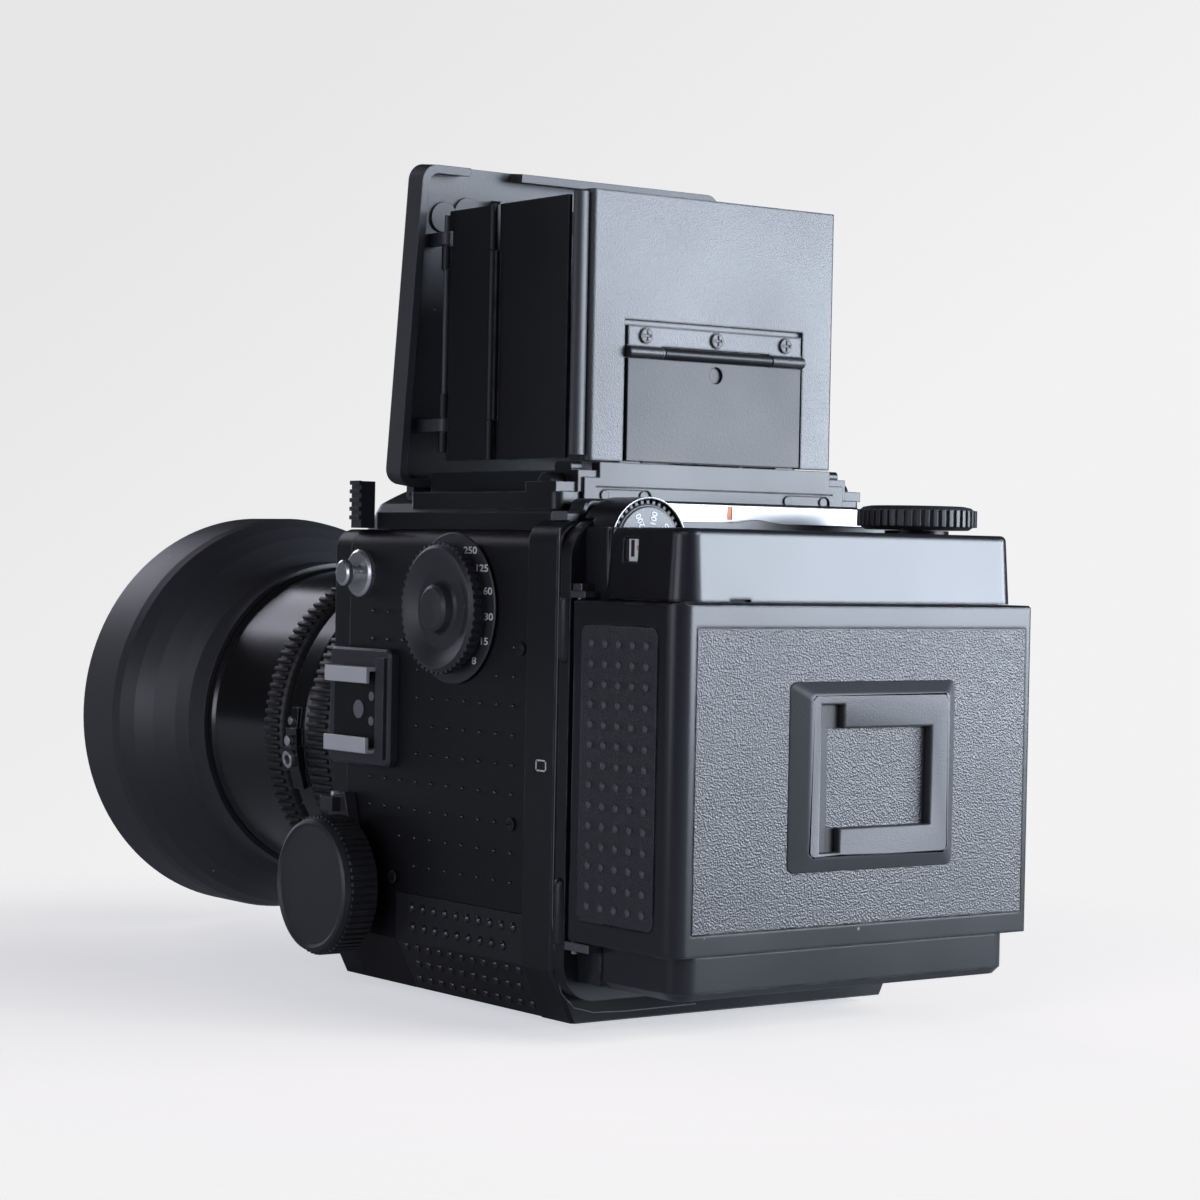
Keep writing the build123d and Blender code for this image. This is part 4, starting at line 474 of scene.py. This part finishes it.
# %% [markdown]
# ## How a small piece is made
# Everything below takes the same three steps: shape it with bmesh operators, give it a finish, and let it
# ride on the body that carries it. Its place is in its mesh, so its object stays at the origin, unturned.


def settle(name, shape, paint, body, smooth=True, crease=None):
    """Turns a bmesh into a finished object that rides on a body; edges past the crease angle stay sharp."""
    bmesh.ops.recalc_face_normals(shape, faces=shape.faces)
    mesh = bpy.data.meshes.new(name)
    shape.to_mesh(mesh)
    shape.free()
    for face in mesh.polygons:
        face.use_smooth = smooth
    if crease:
        mesh.set_sharp_from_angle(angle=radians(crease))
    thing = bpy.data.objects.new(name, mesh)
    thing.data.materials.append(paints[paint])
    bpy.context.collection.objects.link(thing)
    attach(thing, body)
    return thing


def edges_of(verts):
    """Every edge that meets one of the vertices."""
    return list({edge for vert in verts for edge in vert.link_edges})


def rounded(shape, rims, offset, segments):
    """Rounds the given edges by offset millimetres."""
    bmesh.ops.bevel(shape, geom=rims, offset=offset * MM, offset_type="OFFSET", affect="EDGES",
                    segments=segments, profile=0.5, material=-1)


def slab(shape, low, high, bevel=0.0):
    """A block between two corners in millimetres, with its edges rounded by bevel."""
    low, high = Vector(low) * MM, Vector(high) * MM
    size = Matrix.Diagonal((*(high - low), 1))
    made = bmesh.ops.create_cube(shape, size=1.0, matrix=Matrix.Translation((low + high) / 2) @ size)
    if bevel:
        rounded(shape, edges_of(made["verts"]), bevel, 2)


# %% [markdown]
# ## The raised points of the grip skin
# The side covers carry small points in straight rows. Each point is a low dome: a ball pressed flat and sunk
# into the skin. A bump texture could draw them, but real domes catch the light at their tops and stay true
# from every side. A ball with few faces is enough, because there are hundreds.
# The rows are a grid, with gaps where a fitting covers the skin or where the cocking lever sweeps over it.

# %% Points on the side covers
SIDE = 51.0
COLUMNS = [-23.3 + 6.53 * k for k in range(10)]
LEFT_ROWS = {90.9: (0, 1), 84.3: (0, 1, 2, 9), 77.7: (3, 4, 8, 9), 71.2: range(3, 10), 64.6: range(3, 10),
             58.0: range(3, 10), 51.4: range(10), 44.8: range(9), 38.3: range(2, 10), 31.7: range(3, 10)}
RIGHT_ROWS = (84.3, 77.7, 71.2, 64.6, 58.0, 51.4, 44.8, 38.3)
LEFT_POINT, RIGHT_POINT = (0.55, 0.62, 0.48), (0.5, 0.55, 0.42)    # half a point's size along each axis
LEVER_AXIS, LEVER_HUB, LEVER_REACH, LEVER_HALF = Vector((14, 62)), 11, 42, 8     # the cocking lever, y and z
KNOB_AXIS, KNOB_CLEAR = Vector((-29, 25.3)), 17                    # the right focus knob


def dome(shape, place, half, around=9, rings=5, turn=Matrix()):
    """A flattened ball at place, half its size along each axis, in millimetres."""
    fit = Matrix.Translation(Vector(place) * MM) @ turn @ Matrix.Diagonal((*(Vector(half) * MM), 1))
    bmesh.ops.create_uvsphere(shape, u_segments=around, v_segments=rings, radius=1.0, matrix=fit)


def covered(y, z):
    """Whether a fitting on the right side covers the skin here; the lever swings forward from upright."""
    from_lever, from_knob = Vector((y, z)) - LEVER_AXIS, Vector((y, z)) - KNOB_AXIS
    swept = from_lever.length < LEVER_REACH and from_lever.x < LEVER_HALF and from_lever.y > -LEVER_HALF
    return swept or from_lever.length <= LEVER_HUB or from_knob.length <= KNOB_CLEAR


points = bmesh.new()
for z, columns in LEFT_ROWS.items():
    for k in columns:
        dome(points, (SIDE, COLUMNS[k], z), LEFT_POINT)
settle("left_grip_points", points, "point_gloss", "body")

points = bmesh.new()
for z in RIGHT_ROWS:
    for y in COLUMNS:
        if not covered(y, z):
            dome(points, (-SIDE, y, z), RIGHT_POINT)
settle("right_grip_points", points, "point_gloss", "body")
print("grip points placed")

# %% [markdown]
# The battery cover and the rubber insert of the film door carry larger points. The lower part of the battery
# cover slants inwards, so its three rows are domes that lean with it.

# %% Points on the battery cover and the insert
UPRIGHT_POINT, LEANING_POINT, INSERT_POINT = (0.75, 1.15, 1.15), (0.6, 1.1, 1.1), (0.45, 0.95, 0.95)
UPRIGHT_ROWS = ((21.9, -4.2, 4.58, 10), (17.4, -3.6, 4.6, 9))      # height, first point, pitch, points
LEANING_ROWS = ((12.6, -7.2), (8.6, -5.0), (4.6, -7.2))            # height, first point
LEANING_PITCH, COVER_END = 4.58, 40  # no point lies past the battery cover's end
BEND_Z, LEAN = 14, 0.5               # below this height the cover leans in, this much for each millimetre
INSERT_X, INSERT_TOP, INSERT_PITCH, INSERT_ROWS, INSERT_COLUMNS = 51.75, (65.5, 86.3), (4.85, 4.35), 14, 5

points = bmesh.new()
for z, first, pitch, count in UPRIGHT_ROWS:
    for k in range(count):
        dome(points, (SIDE, first + pitch * k, z), UPRIGHT_POINT)
slope = Matrix.Rotation(atan2(LEAN, 1), 4, "Y")
for z, first in LEANING_ROWS:
    y = first
    while y < COVER_END:
        dome(points, (SIDE - (BEND_Z - z) * LEAN, y, z), LEANING_POINT, turn=slope)
        y += LEANING_PITCH
settle("battery_cover_points", points, "point_gloss", "body")

points = bmesh.new()
for row in range(INSERT_ROWS):
    for column in range(INSERT_COLUMNS):
        y, z = INSERT_TOP[0] + INSERT_PITCH[0] * column, INSERT_TOP[1] - INSERT_PITCH[1] * row
        dome(points, (INSERT_X, y, z), INSERT_POINT, around=12, rings=6)
settle("insert_points", points, "insert_rubber", "film_door")
print("larger points placed")

# %% [markdown]
# ## The floor of the accessory shoe
# Between its rails the shoe is a flat black plate that mirrors nothing. The block is packed as one piece, so
# a thin sheet of the dullest black over its floor gives that part a finish of its own.

# %% Floor of the accessory shoe
SHOE_FLOOR = ((53.45, -36.3, 58.3), (53.62, -17.5, 76.5))          # lowest and highest corner
floor_plate = bmesh.new()
slab(floor_plate, *SHOE_FLOOR)
settle("shoe_floor", floor_plate, "inner_black", "body", smooth=False)
print("shoe floor laid")

# %% [markdown]
# ## Figures on the dials
# The shutter speeds are printed in white on the dial's skirt, upright as seen from the side.
# A picture of the figures would need an image file, and text stays sharp at any distance. A text object is
# turned into a mesh first, then carried to its place, so that its object stays at the origin.

# %% Shutter speeds
DIAL_Y, DIAL_Z, PRINT_RING, SKIRT_X = 11.5, 92.4, 15.1, 52.02
FIGURE_HEIGHT, FIGURE_WIDEN = 1.6, 1.6
PRINT_DEPTH, CAP_HEIGHT = 0.03, 0.7  # a figure is 0.7 of its font's size
SPEEDS = (("250", 61.5), ("125", 38.0), ("60", 16.0), ("30", -6.2), ("15", -28.5), ("8", -51.0))


def mesh_of(name, curve):
    """The mesh of a curve or text, by way of an object that is removed again."""
    holder = bpy.data.objects.new(name, curve)
    bpy.context.collection.objects.link(holder)
    bpy.context.view_layer.update()
    mesh = bpy.data.meshes.new_from_object(holder)
    bpy.data.objects.remove(holder)
    return mesh


def print_text(shape, words, height, place, widen=1.0):
    """Adds words as a thin flat mesh; place is the matrix from the text's plane to the object."""
    curve = bpy.data.curves.new("words", "FONT")
    curve.body = words
    curve.size = height * MM / CAP_HEIGHT
    curve.align_x, curve.align_y = "CENTER", "CENTER"
    curve.extrude = curve.offset = PRINT_DEPTH * MM
    mesh = mesh_of("words", curve)
    mesh.transform(place @ Matrix.Diagonal((widen, 1, 1, 1)))
    shape.from_mesh(mesh)
    bpy.data.meshes.remove(mesh)


def on_left(y, z, x):
    """A plane on the left side whose text reads upright from there."""
    axes = Matrix(((0, 0, 1, 0), (1, 0, 0, 0), (0, 1, 0, 0), (0, 0, 0, 1)))
    return Matrix.Translation(Vector((x, y, z)) * MM) @ axes


figures = bmesh.new()
for words, degrees in SPEEDS:
    y, z = DIAL_Y + PRINT_RING * cos(radians(degrees)), DIAL_Z + PRINT_RING * sin(radians(degrees))
    print_text(figures, words, FIGURE_HEIGHT, on_left(y, z, SKIRT_X), widen=FIGURE_WIDEN)
settle("speed_figures", figures, "white_mark", "shutter_speed_control", smooth=False)
print("speeds printed:", len(SPEEDS))

# %% [markdown]
# ## The film speed dial
# A small disc on the magazine reminds the photographer which film is loaded: a grey face with figures and
# dots round it, in a bright ring. The ring is a small section spun once round the dial's axis, which keeps
# it an exact circle with sharp corners.

# %% Film speed dial
SPEED_X, SPEED_Z, FACE_Y, FACE_RADIUS = 36.8, 107.85, 65.43, 7.9
FILM_SPEEDS, FILM_SPEED_HEIGHT, PRINT_LIFT = ("400", "200", "100", "50", "25"), 1.5, 0.05
SPEED_STEP, FIRST_SPEED, SPEED_RING = 39.5, 66.5, 5.6              # degrees, degrees, radius
DOTS, DOT_STEP, DOT_RING, DOT = 27, 13.33, 7.5, (0.14, 0.05, 0.14)
RIM_YS, RIM_RADII = (65.35, 65.66), (9.98, 10.18)


def on_back(x, z, y, spin):
    """A plane on the back whose text reads upright from behind, turned by spin."""
    axes = Matrix(((-1, 0, 0, 0), (0, 0, 1, 0), (0, 1, 0, 0), (0, 0, 0, 1)))
    return Matrix.Translation(Vector((x, y, z)) * MM) @ axes @ Matrix.Rotation(spin, 4, "Z")


face = bmesh.new()
facing_back = Matrix.Translation(Vector((SPEED_X, FACE_Y, SPEED_Z)) * MM) @ Matrix.Rotation(-pi / 2, 4, "X")
bmesh.ops.create_circle(face, cap_ends=True, segments=64, radius=FACE_RADIUS * MM, matrix=facing_back)
settle("reminder_face", face, "reminder_grey", "film_speed_reminder", smooth=False)

figures = bmesh.new()
for number, words in enumerate(FILM_SPEEDS):
    angle = radians(FIRST_SPEED - SPEED_STEP * number)
    x, z = SPEED_X + SPEED_RING * sin(angle), SPEED_Z + SPEED_RING * cos(angle)
    print_text(figures, words, FILM_SPEED_HEIGHT, on_back(x, z, FACE_Y + PRINT_LIFT, angle + pi / 2))
for number in range(DOTS):
    angle = radians(DOT_STEP * number)
    x, z = SPEED_X + DOT_RING * sin(angle), SPEED_Z + DOT_RING * cos(angle)
    dome(figures, (x, FACE_Y, z), DOT, around=6, rings=4)
settle("reminder_figures", figures, "white_mark", "film_speed_reminder", smooth=False)

rim = bmesh.new()
(near, far), (inner, outer) = RIM_YS, RIM_RADII
section = rim.faces.new([rim.verts.new(Vector((SPEED_X, y, SPEED_Z + radius)) * MM)
                         for y, radius in ((near, inner), (far, inner), (far, outer), (near, outer))])
bmesh.ops.spin(rim, geom=[section], cent=Vector((SPEED_X, 0, SPEED_Z)) * MM, axis=(0, 1, 0), angle=2 * pi,
               steps=72, use_merge=True, use_duplicate=False)
settle("reminder_rim", rim, "satin_silver", "magazine", smooth=False)
print("film speed dial made")

# %% [markdown]
# ## The corner of the magazine cover
# The real cover is moulded with a wide round corner, which is what draws the dark and the bright band beside
# the grained panel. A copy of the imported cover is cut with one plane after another, each touching the round,
# and every cut is closed again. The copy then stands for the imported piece.

# %% Round the corner
CORNER_CENTRE, CORNER_RADIUS, CUTS = (47.5, 91.0), 4.0, 10
WELD = 0.001                         # vertices closer than this, in millimetres, become one


def merged_copy(node):
    """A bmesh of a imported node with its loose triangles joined."""
    shape = bmesh.new()
    shape.from_mesh(frame["nodes"][node].data)
    bmesh.ops.remove_doubles(shape, verts=shape.verts, dist=WELD * MM)
    return shape


def all_of(shape):
    """All of a bmesh's vertices, edges and faces."""
    return shape.verts[:] + shape.edges[:] + shape.faces[:]


cover = merged_copy("magazine_cover")
for cut in range(CUTS):
    angle = (cut + 0.5) / CUTS * pi / 2
    outward = Vector((cos(angle), sin(angle), 0))
    touch = (Vector((*CORNER_CENTRE, 0)) + CORNER_RADIUS * outward) * MM
    sides = bmesh.ops.bisect_plane(cover, geom=all_of(cover), dist=1e-7, plane_co=touch, plane_no=outward,
                                   clear_outer=True)["geom_cut"]
    bmesh.ops.edgeloop_fill(cover, edges=[side for side in sides if isinstance(side, bmesh.types.BMEdge)])
open_edges = sum(1 for edge in cover.edges if len(edge.link_faces) != 2)
shell = settle("rounded_cover", cover, "magazine_black", "film_door", smooth=False)
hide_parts("magazine_cover")
print("cover cut round, open edges:", open_edges)

# %% [markdown]
# ## The memo holder
# A frame with wide sloping sides holds the end of a film box. Its face is filled between the outline and the
# window, pulled up from the cover, and drawn in at its outer edge, and then its edges are rounded. It could
# be put together from blocks, but one filled outline leaves no seams where the blocks would meet.

# %% Outline of the memo holder
HOLDER_FOOT = ((-27.0, 38.0), (21.0, 79.0))        # lowest and highest corner, x and z
HOLDER_FACE = ((-23.7, 41.0), (16.7, 76.4))
HOLDER_YS = (95.1, 97.3)
WINDOW = ((13.5, 42.3), (8.0, 42.3), (8.0, 47.5), (-18.3, 47.5), (-18.3, 69.0), (7.3, 69.0), (7.3, 74.1),
          (13.5, 74.1))
SAME = 0.01                          # two places closer than this, in millimetres, count as one


def corners_of(box):
    """The four corners of a box given by its lowest and highest."""
    (x0, z0), (x1, z1) = box
    return ((x0, z0), (x1, z0), (x1, z1), (x0, z1))


def outline(shape, corners, y):
    """A closed ring of edges through the corners."""
    ring = [shape.verts.new(Vector((x, y, z)) * MM) for x, z in corners]
    for near, far in zip(ring, ring[1:] + ring[:1]):
        shape.edges.new((near, far))


holder = bmesh.new()
outline(holder, corners_of(HOLDER_FOOT), HOLDER_YS[0])
outline(holder, WINDOW, HOLDER_YS[0])
bmesh.ops.triangle_fill(holder, edges=holder.edges[:], use_beauty=True)
lifted = bmesh.ops.extrude_face_region(holder, geom=holder.faces[:], use_keep_orig=True)["geom"]
for vert in (part for part in lifted if isinstance(part, bmesh.types.BMVert)):
    vert.co.y = HOLDER_YS[1] * MM
    for foot, face in zip(corners_of(HOLDER_FOOT), corners_of(HOLDER_FACE)):
        if (vert.co - Vector((foot[0], HOLDER_YS[1], foot[1])) * MM).length < SAME * MM:
            vert.co = Vector((face[0], HOLDER_YS[1], face[1])) * MM
print("memo holder raised, faces:", len(holder.faces))

# %% [markdown]
# The four slanting edges get a wide round and the brim a narrow one. The slanting edges are the ones that
# climb and are longer than the holder is high, and the brim is every sharp edge at the top. A dark channel
# on the cover shows through the steps of the window.

# %% Round the memo holder
CLIMB, SLANT, SHARP = 1.0, 2.5, radians(20)
SLANT_ROUND, BRIM_ROUND = 1.3, 0.5
CHANNEL_YS = (95.1, 95.4)
CHANNEL = (((10.4, 42.0), (13.7, 74.4)), ((7.2, 42.0), (10.4, 47.6)), ((7.2, 68.9), (10.4, 74.4)))  # x and z
slopes = [edge for edge in holder.edges if abs(edge.verts[0].co.y - edge.verts[1].co.y) > CLIMB * MM
          and edge.calc_length() > SLANT * MM]
rounded(holder, slopes, SLANT_ROUND, 4)
bmesh.ops.recalc_face_normals(holder, faces=holder.faces)
brim = [edge for edge in holder.edges if edge.calc_face_angle(0) > SHARP
        and min(vert.co.y for vert in edge.verts) > (HOLDER_YS[1] - SAME) * MM]
rounded(holder, brim, BRIM_ROUND, 3)
# Its finish is lightened to stand in for light on the slopes: painted light.
memo = settle("memo_holder", holder, "memo_lightened_black", "film_door", crease=35)
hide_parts("memo_frame")

channel = bmesh.new()
for (x0, z0), (x1, z1) in CHANNEL:
    slab(channel, (x0, CHANNEL_YS[0], z0), (x1, CHANNEL_YS[1], z1))
settle("memo_channel", channel, "dark_mark", "film_door", smooth=False)
print("memo holder made")

# %% [markdown]
# ## Hinge covers
# Two upright barrels, half hidden beside the door, cover its hinge. Each is a cylinder whose free end is
# rounded almost to a half ball by a wide bevel, which takes less to write than joining a ball to a tube.

# %% Hinge covers
HINGE_COVER, COVER_RADIUS, UPPER_ZS, LOWER_ZS = (51.0, 55.1), 1.7, (81.5, 95.8), (20.4, 34.9)


def capsule(shape, centre, radius, zs, domed_top):
    """An upright barrel between two heights with one domed end."""
    middle = Matrix.Translation(Vector((*centre, (zs[0] + zs[1]) / 2)) * MM)
    barrel = bmesh.ops.create_cone(shape, cap_ends=True, segments=32, radius1=radius * MM,
                                   radius2=radius * MM, depth=(zs[1] - zs[0]) * MM, matrix=middle)
    end = (zs[1] if domed_top else zs[0]) * MM
    rims = [edge for edge in edges_of(barrel["verts"])
            if all(abs(tip.co.z - end) < SAME * MM for tip in edge.verts)]
    rounded(shape, rims, radius * 0.9, 6)


covers = bmesh.new()
capsule(covers, HINGE_COVER, COVER_RADIUS, UPPER_ZS, domed_top=False)
capsule(covers, HINGE_COVER, COVER_RADIUS, LOWER_ZS, domed_top=True)
settle("hinge_covers", covers, "magazine_black", "magazine", crease=40)
print("hinge covers made")

# %% [markdown]
# ## The rear frame's painted highlight and painted shade
# A thin pale line along the rear frame's back edge is a painted highlight where light would catch the rounded
# edge, and a flat black sheet over the frame's lower back face is painted shade. The line is a curve with a
# round section along the edge's corners, because a curve is easy to lead round a bend.

# %% Painted highlight line and painted shade sheet
EDGE_HIGHLIGHT_Y, EDGE_HIGHLIGHT_RADIUS, SHADE_SHEET_Y, SHADE_SHEET_DEPTH = 52.55, 0.13, 52.52, 0.06
# The path of the painted highlight along the rear frame's back edge.
EDGE_HIGHLIGHT = ((51.45, 111.0), (51.45, 26.0), (50.9, 20.5), (50.2, 14.0), (48.6, 9.0), (45.2, 5.6), (40.0, 4.2),
        (31.0, 3.8), (11.0, 4.0))
# The outline of the painted shade sheet on the rear frame's lower back face.
SHADE_SHEET = ((-44.5, 2.3), (44.5, 2.3), (50.8, 13.9), (50.8, 20.0), (-50.8, 20.0), (-50.8, 13.9))
curve = bpy.data.curves.new("edge_highlight", "CURVE")
curve.dimensions = "3D"
curve.bevel_depth, curve.bevel_resolution = EDGE_HIGHLIGHT_RADIUS * MM, 2
spline = curve.splines.new("POLY")
spline.points.add(len(EDGE_HIGHLIGHT) - 1)
for point, (x, z) in zip(spline.points, EDGE_HIGHLIGHT):
    point.co = (x * MM, EDGE_HIGHLIGHT_Y * MM, z * MM, 1)
line = bmesh.new()
line.from_mesh(mesh_of("edge_highlight", curve))
settle("rear_frame_highlight_line", line, "highlight_and_contact_grey", "body")

# A flat black sheet over the rear frame's lower back face, where there is only shade: painted shade.
shade_sheet = bmesh.new()
outline(shade_sheet, SHADE_SHEET, SHADE_SHEET_Y)
bmesh.ops.contextual_create(shade_sheet, geom=shade_sheet.edges[:])
bmesh.ops.solidify(shade_sheet, geom=shade_sheet.faces[:], thickness=SHADE_SHEET_DEPTH * MM)
settle("frame_shade_sheet", shade_sheet, "inner_black", "body", smooth=False)
print("line and seal made")

# %% [markdown]
# ## The finder's post and the lever's tip
# A thin post with a half round back stands beside the left edge of the finder's rear plate. It is an upright
# cylinder pressed oval, cut flat in front and closed. The lever that locks the focus has a white mark at
# its tip.

# %% Post and lever tip
POST, POST_HALF, POST_MIDDLE, POST_LENGTH = (38.2, 39.75), (2.0, 1.65), 157.1, 59.0
LEVER_TIP = ((52.0, -36.7, 42.6), (54.0, -35.5, 47.0))             # lowest and highest corner
post = bmesh.new()
oval = Matrix.Translation(Vector((*POST, POST_MIDDLE)) * MM) @ Matrix.Diagonal((*POST_HALF, 1, 1))
bmesh.ops.create_cone(post, cap_ends=True, segments=32, radius1=MM, radius2=MM, depth=POST_LENGTH * MM,
                      matrix=oval)
bmesh.ops.bisect_plane(post, geom=all_of(post), plane_co=(0, POST[1] * MM, 0), plane_no=(0, -1, 0),
                       clear_outer=True)
bmesh.ops.holes_fill(post, edges=post.edges[:])
settle("plate_post", post, "post_black", "body", crease=40)

tip = bmesh.new()
slab(tip, *LEVER_TIP, bevel=0.3)
settle("lock_lever_tip", tip, "rail_silver", "focus_lock")
print("post and lever tip made")

# %% [markdown]
# ## The ribbed rings of the lens
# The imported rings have 60 and 54 square ribs, which is enough to hold them by. The real ones are about twice
# as fine, so each ring is spun again as a plain band, and its ribs are small blocks set round it.

# %% Ribbed rings
RIBS, RING_SEAT = 120, 38.1
GROOVE, CHAMFER, RIB_SINK = 0.9, 0.8, 0.75         # the band under the ribs, its ends, the ribs' middle
RIB_DEEP, RIB_WIDE, RIB_INSET, RIB_ROUND = 1.5, 1.15, 1.8, 0.22


def ribbed_ring(name, node, body):
    """A band with fine ribs round the lens axis that stands for a packed ring."""
    low, high = (Vector(corner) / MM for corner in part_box(node))
    tip, centre = high.x, (low.z + high.z) / 2
    ring = bmesh.new()
    profile = ((low.y, RING_SEAT), (high.y, RING_SEAT), (high.y, tip - 2 * CHAMFER),
               (high.y - CHAMFER, tip - GROOVE), (low.y + CHAMFER, tip - GROOVE), (low.y, tip - 2 * CHAMFER))
    section = ring.faces.new([ring.verts.new(Vector((radius, y, centre)) * MM) for y, radius in profile])
    bmesh.ops.spin(ring, geom=[section], cent=Vector((0, 0, centre)) * MM, axis=(0, 1, 0), angle=2 * pi,
                   steps=RIBS, use_merge=True, use_duplicate=False)
    bmesh.ops.remove_doubles(ring, verts=ring.verts, dist=WELD * MM)
    size = Matrix.Diagonal((RIB_DEEP * MM, (high.y - low.y - RIB_INSET) * MM, RIB_WIDE * MM, 1))
    out = Matrix.Translation(Vector((tip - RIB_SINK, (low.y + high.y) / 2, 0)) * MM)
    for rib in range(RIBS):
        turn = Matrix.Translation((0, 0, centre * MM)) @ Matrix.Rotation(2 * pi * rib / RIBS, 4, "Y")
        block = bmesh.ops.create_cube(ring, size=1.0, matrix=turn @ out @ size)
        rounded(ring, edges_of(block["verts"]), RIB_ROUND, 1)
    thing = settle(name, ring, "ring_rubber", body, crease=50)
    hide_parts(node)


ribbed_ring("aperture_grip", "aperture_ring", "aperture_control")
ribbed_ring("lock_grip", "lens_lock_ring", "lock_ring")
print("rings made, ribs on each:", RIBS)

# %% [markdown]
# ## Index marks and the counter window
# An orange line on the silver strip, a small white frame on the rear frame, and the white frame counter
# behind its window on the magazine. Each mark is a thin slab that stands a little proud of the surface that
# carries it, so that the two never flicker through each other.

# %% Marks
STRIP_YS, STRIP_ZS, LINE_XS, EDGE_XS = (50.65, 50.73), (113.9, 116.9), (1.95, 3.15), (1.65, 1.95)
FRAME_XS = (51.45, 51.56)
FRAME_BARS = (((45.2, 59.65), (49.2, 60.0)), ((45.2, 57.4), (49.2, 57.75)), ((45.2, 57.4), (45.6, 60.0)),
              ((48.8, 57.4), (49.2, 60.0)))        # lowest and highest corner, y and z
WINDOW_X = 47.0                      # the floor of the counter's window in the magazine's left wall
COUNTER = (("counter_card", "white_mark", (72.1, 75.3), (104.0, 108.8), 0.20),
           ("counter_bar", "dark_mark", (72.8, 74.0), (105.0, 108.6), 0.24),
           ("counter_tick", "orange_mark", (74.9, 75.2), (106.4, 107.4), 0.24))

for name, paint, xs in (("index_line", "orange_mark", LINE_XS), ("index_line_edge", "dark_mark", EDGE_XS)):
    mark = bmesh.new()
    slab(mark, (xs[0], STRIP_YS[0], STRIP_ZS[0]), (xs[1], STRIP_YS[1], STRIP_ZS[1]))
    settle(name, mark, paint, "body", smooth=False)

mark = bmesh.new()
for low, high in FRAME_BARS:
    slab(mark, (FRAME_XS[0], *low), (FRAME_XS[1], *high))
settle("orientation_frame", mark, "white_mark", "body", smooth=False)

for name, paint, ys, zs, proud in COUNTER:
    mark = bmesh.new()
    slab(mark, (WINDOW_X - 0.05, ys[0], zs[0]), (WINDOW_X + proud, ys[1], zs[1]))
    settle(name, mark, paint, "magazine", smooth=False)
print("marks placed")
